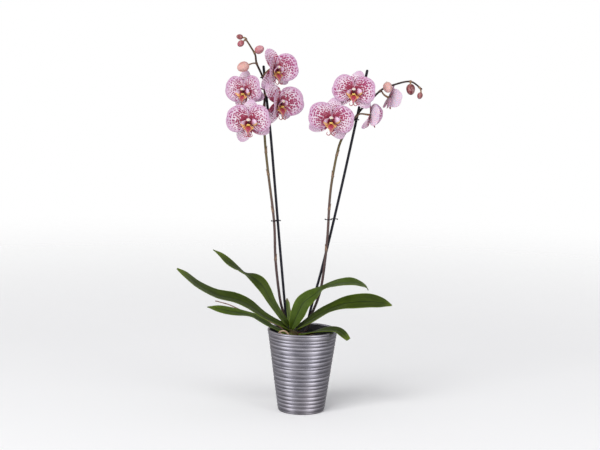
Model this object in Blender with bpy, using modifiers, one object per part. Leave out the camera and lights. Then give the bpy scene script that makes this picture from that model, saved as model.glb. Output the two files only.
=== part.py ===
"""A moth orchid in a ribbed cachepot: two flower spikes on stakes, strap leaves, roots and bark.

Metres, +Z up. The origin is on the pot's axis, on the face that the pot stands on.
+X is to the right of someone who faces the plant and looks along +Y.
Tables of places are in millimetres, and their heights are measured from the pot's rim,
so the whole plant moves with the rim when the pot's height changes.
"""

import math

import bmesh
import bpy
from mathutils import Matrix, Vector

MM = 0.001

# ---------------------------------------------------------------- pot and what it holds
POT_HEIGHT = 152 * MM
POT_RIM_RADIUS = 64.5 * MM
POT_FOOT_RADIUS = 43.0 * MM
POT_WALL = 4.0 * MM
POT_FLOOR = 6.0 * MM
RIM_BAND = 4.5 * MM
FOOT_BEVEL = 3.0 * MM
RIB_DEPTH = 0.9 * MM
RIB_PITCHES = (7.5, 5.5, 6.5, 7, 9, 6, 7, 8.5, 5, 8, 7.5, 7, 8, 6.5, 6, 8, 7.5, 6.5, 7.5, 7)
POT_STEPS = 28

NURSERY_BELOW_RIM = 22 * MM
NURSERY_WALL = 0.9 * MM
NURSERY_SLACK = 1.2 * MM
NURSERY_LIP = 2.0 * MM
NURSERY_LIP_HEIGHT = 5.0 * MM
DRAIN_RADIUS = 4.0 * MM
DRAIN_COUNT = 6
NURSERY_STEPS = 28

BARK_BELOW_LIP = 3.0 * MM
BARK_MOUND = 10 * MM

# ---------------------------------------------------------------- made supports
STAKE_RADIUS = 2.4 * MM
STAKE_ABOVE_FLOOR = 8 * MM
CLIP_WIRE_RADIUS = 0.8 * MM
CLIP_BEAD = 1.7
GAP = 0.3 * MM
# A six-sided hole's corners stand this much further out than the round bar that fits in it.
HOLE_CORNERS = 1 / math.cos(math.pi / 6)
HOLE_CLEARANCE = 0.15 * MM

# ---------------------------------------------------------------- plant
CROWN_CENTRE = (-19, -4)
CROWN_RADII = (9, 8)
CROWN_HEIGHTS = (-32, 4)
SPIKE_RADIUS = 2.3 * MM
PEDICEL_RADIUS = 1.3 * MM
ROOT_RADIUS = 2.2 * MM
LEAF_THICKNESS = 2.4 * MM
LEAF_ROWS, LEAF_COLUMNS = 11, 4
LEAF_FOLD, LEAF_TIP_FOLD = 15, 6
TEPAL_THICKNESS = 1.0 * MM
STAKE_BEHIND = SPIKE_RADIUS + STAKE_RADIUS + 2 * (CLIP_WIRE_RADIUS + GAP)

# Each leaf's midrib, as (x, y, height above the rim, roll in degrees, full width there).
# Roll turns the blade about its midrib: 0 lies flat, positive lifts the edge further from the viewer.
LEAVES = {
    "leaf_long_left": [
        (-28, -8, -3, 10, 12), (-38, -14, 7, 16, 20), (-56, -19, 17, 18, 26), (-76, -23, 29, 20, 32),
        (-99, -26, 46, 20, 37), (-124, -28, 57, 18, 40), (-158, -31, 65, 17, 40), (-190, -34, 82, 16, 36),
        (-213, -37, 101, 16, 26), (-229, -39, 113, 16, 4),
    ],
    "leaf_lower_left": [
        (-30, -5, -12, 4, 11), (-46, -4, -3, 6, 16), (-62, -1, 5, 8, 20), (-82, 4, 15, 4, 24),
        (-97, 7, 21, 6, 27), (-126, 10, 26, 18, 28), (-155, 13, 31, 18, 22), (-177, 15, 34, 12, 3),
    ],
    "leaf_upper_left": [
        (-27, -8, 7, 50, 12), (-34, -11, 17, 60, 12), (-46, -12, 34, 62, 13), (-58, -12, 52, 60, 16),
        (-68, -10, 69, 56, 21), (-79, -7, 83, 48, 26), (-93, -4, 93, 24, 29), (-110, 0, 101, -6, 29),
        (-124, 4, 109, 3, 27), (-139, 7, 120, 13, 24), (-153, 9, 132, 15, 17), (-167, 10, 142, 12, 4),
    ],
    "leaf_upper_right": [
        (-21, -14, 3, 86, 10), (-15, -18, 19, 84, 22), (-8, -20, 35, 78, 28), (-1, -20, 50, 68, 29),
        (9, -20, 59, 52, 29), (21, -19, 67, 28, 31), (35, -17, 77, 2, 35), (52, -13, 83, 4, 38),
        (70, -8, 87, 8, 37), (89, -3, 88, 13, 34), (104, 1, 84, 14, 27), (115, 4, 79, 12, 19),
        (119, 6, 73, 10, 5),
    ],
    "leaf_long_right": [
        (-8, -10, 0, 24, 12), (7, -16, 13, 28, 19), (29, -21, 29, 28, 26), (50, -25, 42, 26, 30),
        (74, -28, 52, 28, 38), (95, -30, 56, 30, 40), (119, -32, 58, 30, 38), (140, -33, 56, 28, 31),
        (152, -34, 55, 26, 19), (161, -34, 53, 24, 3),
    ],
    "leaf_young": [
        (-19, 10, 4, 84, 8), (-24, 19, 20, 88, 18), (-28, 24, 36, 88, 20), (-30, 26, 52, 86, 4),
    ],
}
# The lowest right leaf starts just above the bark and lies over the rim, so its places come from them.
LOW_LEAF_ANGLE = math.radians(-23)
LOW_LEAF_CLEARANCE = 2.6 * MM
LOW_LEAF_OVERHANG = 26 * MM
LOW_LEAF_LIFT = 3.0 * MM
LOW_LEAF_WIDTH = 26

# Stem paths as (x, y, height above the rim). Each spike is held to its stake by clips.
SPIKES = {
    "left": [
        (-29, 5, -2), (-35, 6, 25), (-43, 6, 56), (-52, 6, 126), (-56, 6, 198), (-68, 6, 285),
        (-75, 6, 345), (-77, 6, 400), (-77, 6, 436), (-81, 6, 459), (-92, 4, 483), (-95, 2, 499),
        (-104, 1, 514), (-112, 0, 526),
    ],
    "right": [
        (-8, 5, -20), (9, 9, 0), (17, 11, 27), (27, 11, 54), (35, 11, 91), (42, 11, 165),
        (45, 11, 239), (50, 10, 285), (60, 8, 338), (74, 6, 367), (86, 4, 386), (98, 2, 404),
        (116, 0, 423), (135, 0, 441), (154, 0, 449), (185, 0, 456), (206, 0, 443),
    ],
}
# Stake paths: x and height above the rim, and the y of the stem that they stand behind.
STAKES = {
    "left": [(-19, 4, -118), (-31, 6, 16), (-46, 5, 164), (-64, 6, 346), (-72, 6, 410), (-80, 6, 480)],
    "right": [(-8, 9, -118), (9, 10, 8), (29, 11, 91), (46, 11, 165), (69, 8, 276), (94, 3, 404), (108, 2, 476)],
}
CLIPS = {
    "clip_left_lower": ("left", 198),
    "clip_left_upper": ("left", 458),
    "clip_right_lower": ("right", 202),
    "clip_right_upper": ("right", 385),
}

# Each flower: spike, where its pedicel leaves it (counted in stem points), centre, the way it
# faces (turned right of the viewer, raised), size, sepal angles, petal angles (clockwise from up),
# how far the petals lean forward and then curl (degrees), and the forward reach of the sepals' tips.
FLOWERS = {
    "left_flower_1": ("left", 7.2, (-103.5, -37, 382), (-2, -10), 1.0, (8, -160, 122), (-78, 76), (6, 12), -4),
    "left_flower_2": ("left", 8.0, (-112, -15, 435), (-34, -6), 0.96, (2, -152, 108), (-84, 76), (4, 8), -3),
    "left_flower_3": ("left", 7.7, (-49, -19, 415), (42, -8), 1.08, (-40, -152, 128), (-96, 80), (34, 18), -8),
    "left_flower_4": ("left", 9.0, (-56.5, -26, 475), (38, -4), 1.0, (-26, -150, 128), (-98, 80), (36, 16), -5),
    "right_flower_1": ("right", 9.4, (43.5, -30, 388), (0, -10), 1.02, (12, -118, 150), (-74, 92), (4, 10), -4),
    "right_flower_2": ("right", 11.3, (83, -34, 439), (-5, -5), 0.96, (18, -124, 138), (-76, 86), (4, 10), -3),
    "right_flower_3": ("right", 10.3, (115, -14, 395), (82, -6), 0.78, (4, -134, 134), (-84, 84), (24, 44), -10),
    "right_flower_4": ("right", 12.8, (149, 8, 426), (98, -20), 0.68, (0, -128, 128), (-80, 80), (20, 106), 1),
}
SEPAL = {"length": 38 * MM, "width": 27 * MM, "lateral_length": 42 * MM}
PETAL = {"length": 42 * MM, "width": 54 * MM, "flat": 5 * MM}
LIP_LOBES = ((180, 24 * MM, 12 * MM), (-96, 13 * MM, 11 * MM), (96, 13 * MM, 11 * MM))
LIP_DROP = 5.5 * MM
COLUMN_RADII = (3.4 * MM, 4.2 * MM, 5.2 * MM)

# Each bud: spike, where its pedicel leaves it, centre, radius, and the way it points.
BUDS = {
    "left_bud_1": ("left", 10.0, (-115, -30, 477), 10.2, (-0.9, -0.5, -0.35)),
    "left_bud_2": ("left", 11.2, (-87, -10, 508), 8.2, (0.75, -0.4, 0.45)),
    "left_bud_3": ("left", 12.9, (-121, -3, 518), 6.2, (-0.6, -0.5, -0.5)),
    "left_bud_4": ("left", 13.0, (-123, 0, 530), 5.4, (-1, -0.1, 0.2)),
    "right_bud_1": ("right", 13.3, (144, -14, 445), 9.2, (0.15, -0.6, -0.9)),
    "right_bud_2": ("right", 15.0, (186, -5, 442), 9.0, (0.05, -0.3, -1)),
    "right_bud_3": ("right", 15.8, (203, -4, 431), 5.6, (-0.3, -0.3, -1)),
}

ROOTS = {
    "root_front": ([(-44, -12, -32), (-45, -17, -12), (-40, -21, -2), (-32, -23, -1), (-25, -24, -8),
                    (-20, -25, -24)], 2.2),
    "aerial_root_left": ([(-33, 19, -22), (-40, 22, -3), (-60, 29, 6), (-88, 33, 16), (-114, 33, 26),
                          (-138, 30, 37), (-162, 26, 44)], 1.6),
}

COLOURS = {
    "silver_glaze": ((0.40, 0.40, 0.43), 0.32, 0.9),
    "clear_plastic": ((0.75, 0.78, 0.78), 0.30, 0.0),
    "bark": ((0.24, 0.12, 0.06), 0.90, 0.0),
    "leaf": ((0.07, 0.17, 0.03), 0.38, 0.0),
    "stem": ((0.24, 0.17, 0.09), 0.50, 0.0),
    "root": ((0.66, 0.48, 0.32), 0.70, 0.0),
    "black_plastic": ((0.015, 0.015, 0.02), 0.42, 0.0),
    "petal": ((0.72, 0.42, 0.62), 0.55, 0.0),
    "lip": ((0.75, 0.40, 0.10), 0.50, 0.0),
    "column": ((0.90, 0.82, 0.86), 0.45, 0.0),
    "bud": ((0.62, 0.22, 0.28), 0.50, 0.0),
}


# ================================================================ helpers
def clear_scene():
    for obj in list(bpy.data.objects):
        bpy.data.objects.remove(obj, do_unlink=True)


def new_collection(name):
    made = bpy.data.collections.new(name)
    bpy.context.scene.collection.children.link(made)
    return made


def make_materials():
    made = {}
    for name, (colour, roughness, metallic) in COLOURS.items():
        material = bpy.data.materials.new(name)
        material.use_nodes = True
        shader = material.node_tree.nodes["Principled BSDF"]
        shader.inputs["Base Color"].default_value = (*colour, 1)
        shader.inputs["Roughness"].default_value = roughness
        shader.inputs["Metallic"].default_value = metallic
        made[name] = material
    return made


def above_rim(x, y, height):
    """A place from the tables, in metres."""
    return Vector((x * MM, y * MM, POT_HEIGHT + height * MM))


def smooth_path(points, per_span):
    """Points along a Catmull-Rom curve through tuples of any length."""
    rows = [Vector(p) for p in points]
    rows = [2 * rows[0] - rows[1], *rows, 2 * rows[-1] - rows[-2]]
    path = []
    for i in range(1, len(rows) - 2):
        a, b, c, d = rows[i - 1 : i + 3]
        for k in range(per_span):
            t = k / per_span
            path.append(
                0.5 * (2 * b + (c - a) * t + (2 * a - 5 * b + 4 * c - d) * t**2
                       + (3 * b - 3 * c + d - a) * t**3)
            )
    return [*path, rows[-2]]


def along(path, share):
    """The point at a share of a path's steps, from 0 to 1."""
    place = min(max(share, 0), 1) * (len(path) - 1)
    i = min(int(place), len(path) - 2)
    return path[i].lerp(path[i + 1], place - i)


def add_object(name, data, material=None):
    obj = bpy.data.objects.new(name, data)
    PLANT.objects.link(obj)
    if material:
        obj.data.materials.append(MATERIALS[material])
    return obj


def as_helper(obj):
    """Moves an object to the cutters, out of the render."""
    PLANT.objects.unlink(obj)
    CUTTERS.objects.link(obj)
    obj.hide_render = True
    obj.display_type = "WIRE"
    return obj


def tube(name, points, radius, material, radii=None, resolution=2):
    """A round bar along the points, with closed ends. radii scale it at each point."""
    curve = bpy.data.curves.new(name, "CURVE")
    curve.dimensions = "3D"
    curve.bevel_depth = radius
    curve.bevel_resolution = resolution
    curve.use_fill_caps = True
    spline = curve.splines.new("POLY")
    spline.points.add(len(points) - 1)
    for i, point in enumerate(points):
        spline.points[i].co = (*point, 1)
        spline.points[i].radius = radii[i] if radii else 1
    return add_object(name, curve, material)


def to_mesh(obj):
    """Replaces a curve object by its mesh, with the end caps welded on."""
    bpy.context.view_layer.update()
    graph = bpy.context.evaluated_depsgraph_get()
    mesh = bpy.data.meshes.new_from_object(obj.evaluated_get(graph))
    shape = bmesh.new()
    shape.from_mesh(mesh)
    bmesh.ops.remove_doubles(shape, verts=shape.verts, dist=GAP / 30)
    bmesh.ops.recalc_face_normals(shape, faces=shape.faces)
    shape.to_mesh(mesh)
    shape.free()
    name, matrix = obj.name, obj.matrix_world.copy()
    bpy.data.objects.remove(obj)
    made = add_object(name, mesh)
    made.matrix_world = matrix
    return made


def combine(obj, other, operation):
    modifier = obj.modifiers.new(operation.lower(), "BOOLEAN")
    modifier.operation = operation
    modifier.solver = "EXACT"
    modifier.object = other


def solidify(obj, thickness):
    modifier = obj.modifiers.new("thickness", "SOLIDIFY")
    modifier.thickness = thickness
    modifier.offset = 0


def mesh_object(name, shape, material, smooth=True):
    """An object from a bmesh, which it frees."""
    bmesh.ops.recalc_face_normals(shape, faces=shape.faces)
    mesh = bpy.data.meshes.new(name)
    shape.to_mesh(mesh)
    shape.free()
    obj = add_object(name, mesh, material)
    if smooth:
        mesh.shade_smooth()
    return obj


def turned(name, profile, steps, material):
    """A profile of (radius, height) from the inside round to the underside, turned about Z."""
    mesh = bpy.data.meshes.new(name)
    points = [(radius, 0, height) for radius, height in profile]
    mesh.from_pydata(points, [(i, i + 1) for i in range(len(points) - 1)], [])
    obj = add_object(name, mesh, material)
    screw = obj.modifiers.new("turn", "SCREW")
    screw.axis = "Z"
    screw.steps = screw.render_steps = steps
    screw.use_merge_vertices = True
    screw.merge_threshold = 0.00005
    screw.use_smooth_shade = True
    return obj


# ================================================================ pot
def pot_radius(z):
    """The cachepot's outer radius at a height, before its ribs."""
    return POT_FOOT_RADIUS + (POT_RIM_RADIUS - POT_FOOT_RADIUS) * z / POT_HEIGHT


def make_cachepot():
    top, bottom = POT_HEIGHT - RIM_BAND, FOOT_BEVEL
    inside = [(0, POT_FLOOR), (pot_radius(POT_FLOOR) - POT_WALL, POT_FLOOR)]
    rim = [
        (POT_RIM_RADIUS - POT_WALL, POT_HEIGHT - POT_WALL / 3),
        (POT_RIM_RADIUS - POT_WALL * 0.7, POT_HEIGHT),
        (POT_RIM_RADIUS - POT_WALL * 0.25, POT_HEIGHT),
        (POT_RIM_RADIUS, POT_HEIGHT - POT_WALL / 3),
    ]
    ribs = []
    z, pitch = top, (top - bottom) / sum(RIB_PITCHES)
    for share in RIB_PITCHES:
        ribs.append((pot_radius(z) - RIB_DEPTH, z))
        ribs.append((pot_radius(z - share * pitch / 2), z - share * pitch / 2))
        z -= share * pitch
    foot = [
        (pot_radius(bottom) - RIB_DEPTH, bottom),
        (POT_FOOT_RADIUS - FOOT_BEVEL * 0.8, 0),
        (0, 0),
    ]
    return turned("cachepot", inside + rim + ribs + foot, POT_STEPS, "silver_glaze")


def nursery_outer(z):
    """The nursery pot's outer radius at a height, clear of the cachepot's inner wall."""
    return pot_radius(z) - POT_WALL - NURSERY_SLACK - NURSERY_LIP


NURSERY_FOOT = POT_FLOOR + GAP
NURSERY_TOP = POT_HEIGHT - NURSERY_BELOW_RIM


def make_nursery_pot():
    lip_z = NURSERY_TOP - NURSERY_LIP_HEIGHT
    wall = NURSERY_WALL
    profile = [
        (0, NURSERY_FOOT + wall),
        (nursery_outer(NURSERY_FOOT) - wall, NURSERY_FOOT + wall),
        (nursery_outer(lip_z) - wall, lip_z + wall),
        (nursery_outer(lip_z) - wall, NURSERY_TOP),
        (nursery_outer(lip_z) + NURSERY_LIP, NURSERY_TOP),
        (nursery_outer(lip_z) + NURSERY_LIP, lip_z),
        (nursery_outer(lip_z), lip_z),
        (nursery_outer(NURSERY_FOOT), NURSERY_FOOT),
        (0, NURSERY_FOOT),
    ]
    pot = turned("nursery_pot", profile, NURSERY_STEPS, "clear_plastic")
    for i in range(DRAIN_COUNT):
        angle = 2 * math.pi * i / DRAIN_COUNT
        reach = nursery_outer(NURSERY_FOOT) * 0.6
        shape = bmesh.new()
        bmesh.ops.create_cone(
            shape, cap_ends=True, segments=8, radius1=DRAIN_RADIUS, radius2=DRAIN_RADIUS,
            depth=6 * wall,
        )
        cutter = as_helper(mesh_object(f"drain_{i + 1}", shape, None, smooth=False))
        cutter.location = (reach * math.cos(angle), reach * math.sin(angle), NURSERY_FOOT)
        combine(pot, cutter, "DIFFERENCE")
    return pot


def bark_height(radius):
    """The bark's surface, a low mound that falls towards the nursery pot's wall."""
    edge = NURSERY_TOP - BARK_BELOW_LIP
    share = radius / nursery_outer(NURSERY_TOP)
    return edge + BARK_MOUND * max(0, 1 - share**2) ** 1.5


def make_bark():
    inner = NURSERY_WALL + GAP
    floor = NURSERY_FOOT + NURSERY_WALL + GAP
    edge = NURSERY_TOP - BARK_BELOW_LIP
    lip_z = NURSERY_TOP - NURSERY_LIP_HEIGHT
    rings = 6
    outer = nursery_outer(min(edge, lip_z)) - inner
    top = [(outer * i / rings, bark_height(outer * i / rings)) for i in range(rings)]
    profile = [*top, (outer, edge), (nursery_outer(floor) - inner, floor), (0, floor)]
    return turned("bark_mix", profile, NURSERY_STEPS, "bark")


# ================================================================ plant
def make_crown():
    low, high = CROWN_HEIGHTS
    shape = bmesh.new()
    bmesh.ops.create_uvsphere(shape, u_segments=12, v_segments=8, radius=1)
    for vertex in shape.verts:
        # A sphere pulled towards a barrel, so that the crown has upright sides.
        across = Vector((vertex.co.x, vertex.co.y))
        if across.length > 0:
            across *= math.sqrt(across.length) / across.length
        vertex.co = (across.x * CROWN_RADII[0] * MM, across.y * CROWN_RADII[1] * MM,
                     vertex.co.z * (high - low) / 2 * MM)
    crown = mesh_object("crown_stem", shape, "leaf")
    crown.location = above_rim(*CROWN_CENTRE, (low + high) / 2)
    return crown


def make_leaf(name, midrib):
    """A strap leaf: a grid laid along its midrib, folded a little along it, and given thickness."""
    path = smooth_path(midrib, 6)
    heading = Vector((path[-1].x - path[0].x, path[-1].y - path[0].y, 0)).normalized()
    flat_side = Vector((-heading.y, heading.x, 0))
    if flat_side.y < 0:
        flat_side = -flat_side
    shape = bmesh.new()
    bmesh.ops.create_grid(shape, x_segments=LEAF_ROWS, y_segments=LEAF_COLUMNS, size=1)
    step = 0.02
    for vertex in shape.verts:
        share, across = (vertex.co.x + 1) / 2, vertex.co.y
        here = along(path, share)
        after, before = along(path, share + step), along(path, share - step)
        tangent = (after - before).to_3d().normalized()
        side = (flat_side - flat_side.dot(tangent) * tangent).normalized()
        normal = side.cross(tangent)
        if normal.z < 0:
            normal = -normal
        roll = math.radians(here[3])
        side, normal = (
            side * math.cos(roll) + normal * math.sin(roll),
            normal * math.cos(roll) - side * math.sin(roll),
        )
        half = here[4] / 2
        fold = math.radians(LEAF_FOLD + (LEAF_TIP_FOLD - LEAF_FOLD) * share)
        offset = side * across * half * math.cos(fold) + normal * abs(across) * half * math.sin(fold)
        vertex.co = above_rim(*(here.to_3d() + offset))
    leaf = mesh_object(name, shape, "leaf")
    solidify(leaf, LEAF_THICKNESS)
    return leaf


def low_leaf_midrib():
    """The low leaf rises from the crown, clears the rim and hangs down outside it."""
    out = Vector((math.cos(LOW_LEAF_ANGLE), math.sin(LOW_LEAF_ANGLE)))
    rim = out * POT_RIM_RADIUS / MM
    tip = out * (POT_RIM_RADIUS + LOW_LEAF_OVERHANG) / MM
    over = LOW_LEAF_CLEARANCE / MM
    start = Vector((CROWN_CENTRE[0] + CROWN_RADII[0] + 4.0, CROWN_CENTRE[1] - 2.0))
    low = (bark_height(start.length * MM) + LOW_LEAF_LIFT - POT_HEIGHT) / MM
    return [
        (*start, low, 0, LOW_LEAF_WIDTH * 0.4),
        (*start.lerp(rim, 0.3), low + 0.4 * (over - low), 4, LOW_LEAF_WIDTH * 0.55),
        (*start.lerp(rim, 0.65), low + 0.87 * (over - low), 8, LOW_LEAF_WIDTH * 0.85),
        (*rim, over, 10, LOW_LEAF_WIDTH),
        (*rim.lerp(tip, 0.5), over - 4, 12, LOW_LEAF_WIDTH),
        (*tip, over - 15, 12, LOW_LEAF_WIDTH * 0.5),
    ]


def spike_path(side):
    return smooth_path([above_rim(*p) for p in SPIKES[side]], 2)


def on_spike(side, place):
    """The stem's point at a place counted in its table's points."""
    return along(spike_path(side), place / (len(SPIKES[side]) - 1))


def bent_bar(name, start, start_way, end, end_way, radii):
    """A pedicel: a curve from the stem to a flower's or a bud's base."""
    a, d = start, end
    b = start + start_way
    c = end - end_way
    count = 6
    path = []
    for i in range(count):
        t = i / (count - 1)
        path.append(a * (1 - t)**3 + b * 3 * t * (1 - t)**2 + c * 3 * t**2 * (1 - t) + d * t**3)
    scale = [radii[0] + (radii[1] - radii[0]) * i / (count - 1) for i in range(count)]
    return as_helper(to_mesh(tube(name, path, PEDICEL_RADIUS, None, scale, resolution=1)))


def flower_frame(centre, facing):
    """The matrix whose X is a flower's right, Y its up and Z the way it faces."""
    turn, lift = (math.radians(a) for a in facing)
    forward = Vector((math.sin(turn) * math.cos(lift), -math.cos(turn) * math.cos(lift), math.sin(lift)))
    right = Vector((math.cos(turn), math.sin(turn), 0))
    up = forward.cross(right)
    matrix = Matrix((right, up, forward)).transposed().to_4x4()
    matrix.translation = above_rim(*centre)
    return matrix


BACK_OF_FLOWER = 1.2 * MM + TEPAL_THICKNESS / 2 + 3 * GAP


def make_spike(side):
    path = spike_path(side)
    count = len(path)
    radii = [1.08 - 0.45 * (i / (count - 1)) ** 2 for i in range(count)]
    spike = to_mesh(tube(f"spike_{side}", path, SPIKE_RADIUS, "stem", radii))
    spike.data.materials.append(MATERIALS["stem"])
    for name, (on, place, centre, facing, size, *_) in FLOWERS.items():
        if on != side:
            continue
        frame = flower_frame(centre, facing)
        forward = frame.col[2].to_3d()
        end = frame.translation - forward * BACK_OF_FLOWER * size
        start = on_spike(side, place)
        way = (end - start) * 0.35 + Vector((0, 0, 6 * MM))
        bar = bent_bar(f"{name}_pedicel", start, way, end, forward * 16 * MM, (1, 1.5))
        combine(spike, bar, "UNION")
    for name, (on, place, centre, radius, way) in BUDS.items():
        if on != side:
            continue
        way = Vector(way).normalized()
        end = above_rim(*centre) - way * (radius * BUD_STRETCH * MM + 2 * GAP)
        start = on_spike(side, place)
        lift = (end - start) * 0.4 + Vector((0, 0, 3 * MM))
        bar = bent_bar(f"{name}_pedicel", start, lift, end, way * 4 * MM, (1, 1.1))
        combine(spike, bar, "UNION")
    return spike


def stake_path(side):
    """The stake's axis, behind the stem, from a little above the nursery pot's floor."""
    path = smooth_path([above_rim(*p) + Vector((0, STAKE_BEHIND, 0)) for p in STAKES[side]], 2)
    foot = NURSERY_FOOT + NURSERY_WALL + STAKE_ABOVE_FLOOR
    path[0] = path[1] + (path[0] - path[1]) * (foot - path[1].z) / (path[0].z - path[1].z)
    return path


def make_stake(side):
    return tube(f"stake_{side}", stake_path(side), STAKE_RADIUS, "black_plastic")


def crossing(path, z):
    """Where a rising path passes a height."""
    for a, b in zip(path, path[1:]):
        if a.z <= z <= b.z:
            return a.lerp(b, (z - a.z) / (b.z - a.z))
    raise ValueError("the path doesn't reach that height")


def make_clip(name, side, height):
    """An S-shaped wire clip: round the stem's front, between the two, and round the stake's back."""
    z = POT_HEIGHT + height * MM
    stem = crossing(spike_path(side), z)
    stake = crossing(stake_path(side), z)
    apart = stake - stem
    distance = apart.length
    spare = (distance - SPIKE_RADIUS - STAKE_RADIUS) / 2
    towards = math.atan2(apart.y, apart.x)
    steps, sweep = 8, math.radians(215)
    path = []
    for i in range(steps + 1):
        angle = towards - sweep * (1 - i / steps)
        reach = SPIKE_RADIUS + spare
        path.append(stem + Vector((math.cos(angle), math.sin(angle), 0)) * reach)
    for i in range(1, steps + 1):
        angle = towards + math.pi - sweep * i / steps
        reach = STAKE_RADIUS + spare
        path.append(stake + Vector((math.cos(angle), math.sin(angle), 0)) * reach)
    radii = [CLIP_BEAD] + [1] * (len(path) - 2) + [CLIP_BEAD]
    return tube(name, path, CLIP_WIRE_RADIUS, "black_plastic", radii, resolution=1)


# ================================================================ flowers
def lobe_reach(lobe, angle):
    """The distance from a flower's centre to the edge of an oval lobe, along an angle."""
    way, length, width = lobe
    tail = 0.12 * length
    middle, half_length, half_width = (length - tail) / 2, (length + tail) / 2, width / 2
    cos, sin = math.cos(angle - math.radians(way)), math.sin(angle - math.radians(way))
    a = (cos / half_length) ** 2 + (sin / half_width) ** 2
    b = -2 * cos * middle / half_length**2
    c = (middle / half_length) ** 2 - 1
    return (-b + math.sqrt(b * b - 4 * a * c)) / (2 * a)


def lobed_sheet(name, lobes, spokes, rings, place, material, thickness):
    """Spins a spoke into a disc, stretches it out to the lobes, and puts each point with place(x, y)."""
    shape = bmesh.new()
    spoke = [shape.verts.new((i / rings, 0, 0)) for i in range(rings + 1)]
    edges = [shape.edges.new(pair) for pair in zip(spoke, spoke[1:])]
    bmesh.ops.spin(
        shape, geom=[*spoke, *edges], cent=(0, 0, 0), axis=(0, 0, 1), angle=2 * math.pi,
        steps=spokes, use_merge=True,
    )
    bmesh.ops.remove_doubles(shape, verts=shape.verts, dist=1e-5)
    for vertex in shape.verts:
        radius = vertex.co.length
        angle = math.atan2(vertex.co.y, vertex.co.x)
        reach = radius * max(lobe_reach(lobe, angle) for lobe in lobes)
        vertex.co = place(reach * math.sin(angle), reach * math.cos(angle))
    sheet = mesh_object(name, shape, material)
    solidify(sheet, thickness)
    return sheet


def folded(out, lean, curl):
    """How far out and how far forward a petal gets, which lies flat, leans forward and then curls."""
    tilt, bend = math.radians(lean), math.radians(curl) / PETAL["length"]
    end = tilt + bend * max(0, out - PETAL["flat"])
    reach = (math.sin(end) - math.sin(tilt)) / bend
    return min(out, PETAL["flat"]) + reach, (math.cos(tilt) - math.cos(end)) / bend


def make_flower(name, centre, facing, size, sepals, petals, fold, sepal_reach):
    frame = flower_frame(centre, facing) @ Matrix.Scale(size, 4)
    dorsal, left, right = sepals

    def sepal_place(x, y):
        far = math.hypot(x, y) / SEPAL["length"]
        return (x, y, -1.2 * MM + sepal_reach * MM * far**2)

    def petal_place(x, y):
        out, forward = folded(abs(x), *fold)
        return (math.copysign(out, x), y, 1.0 * MM + forward)

    def lip_place(x, y):
        curl = 8.5 * MM
        down = max(0, -y)
        forward = curl * (1 - math.cos(min(abs(x) / curl, 1.6)))
        bow = 9 * MM * math.sin(min(down / (20 * MM), 1) * math.pi * 0.6)
        return (curl * math.sin(x / curl), y * 0.85 - LIP_DROP, 2.9 * MM + forward + bow)

    sepal_lobes = (
        (dorsal, SEPAL["length"], SEPAL["width"]),
        (left, SEPAL["lateral_length"], SEPAL["width"]),
        (right, SEPAL["lateral_length"], SEPAL["width"]),
    )
    petal_lobes = [(angle, PETAL["length"], PETAL["width"]) for angle in petals]
    pieces = [
        lobed_sheet(f"{name}_sepals", sepal_lobes, 28, 3, sepal_place, "petal", TEPAL_THICKNESS),
        lobed_sheet(f"{name}_petals", petal_lobes, 24, 3, petal_place, "petal", TEPAL_THICKNESS),
        lobed_sheet(f"{name}_lip", LIP_LOBES, 16, 3, lip_place, "lip", TEPAL_THICKNESS),
    ]
    shape = bmesh.new()
    bmesh.ops.create_uvsphere(shape, u_segments=8, v_segments=6, radius=1)
    base = 1.5 * MM + GAP
    for vertex in shape.verts:
        vertex.co = (
            vertex.co.x * COLUMN_RADII[0],
            vertex.co.y * COLUMN_RADII[1] + 1.0 * MM,
            vertex.co.z * COLUMN_RADII[2] + base + COLUMN_RADII[2],
        )
    pieces.append(mesh_object(f"{name}_column", shape, "column"))
    for piece in pieces:
        piece.matrix_world = frame


BUD_STRETCH = 1.12


def make_bud(name, centre, radius, way):
    shape = bmesh.new()
    bmesh.ops.create_uvsphere(shape, u_segments=10, v_segments=7, radius=radius * MM)
    for vertex in shape.verts:
        vertex.co.z *= BUD_STRETCH
    bud = mesh_object(name, shape, "bud")
    bud.rotation_mode = "QUATERNION"
    bud.rotation_quaternion = Vector(way).to_track_quat("Z", "Y")
    bud.location = above_rim(*centre)
    return bud


def make_root(name, points, radius, grown=0.0):
    path = smooth_path([above_rim(*p) for p in points], 3)
    count = len(path)
    radii = [1 - 0.35 * (i / (count - 1)) for i in range(count)]
    if grown:
        radii = [r + grown / (radius * MM) for r in radii]
    return tube(name, path, radius * MM, "root", radii, resolution=1)


def grown_tube(name, path, radius):
    return as_helper(to_mesh(tube(name, path, radius, None, resolution=1)))


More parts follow.
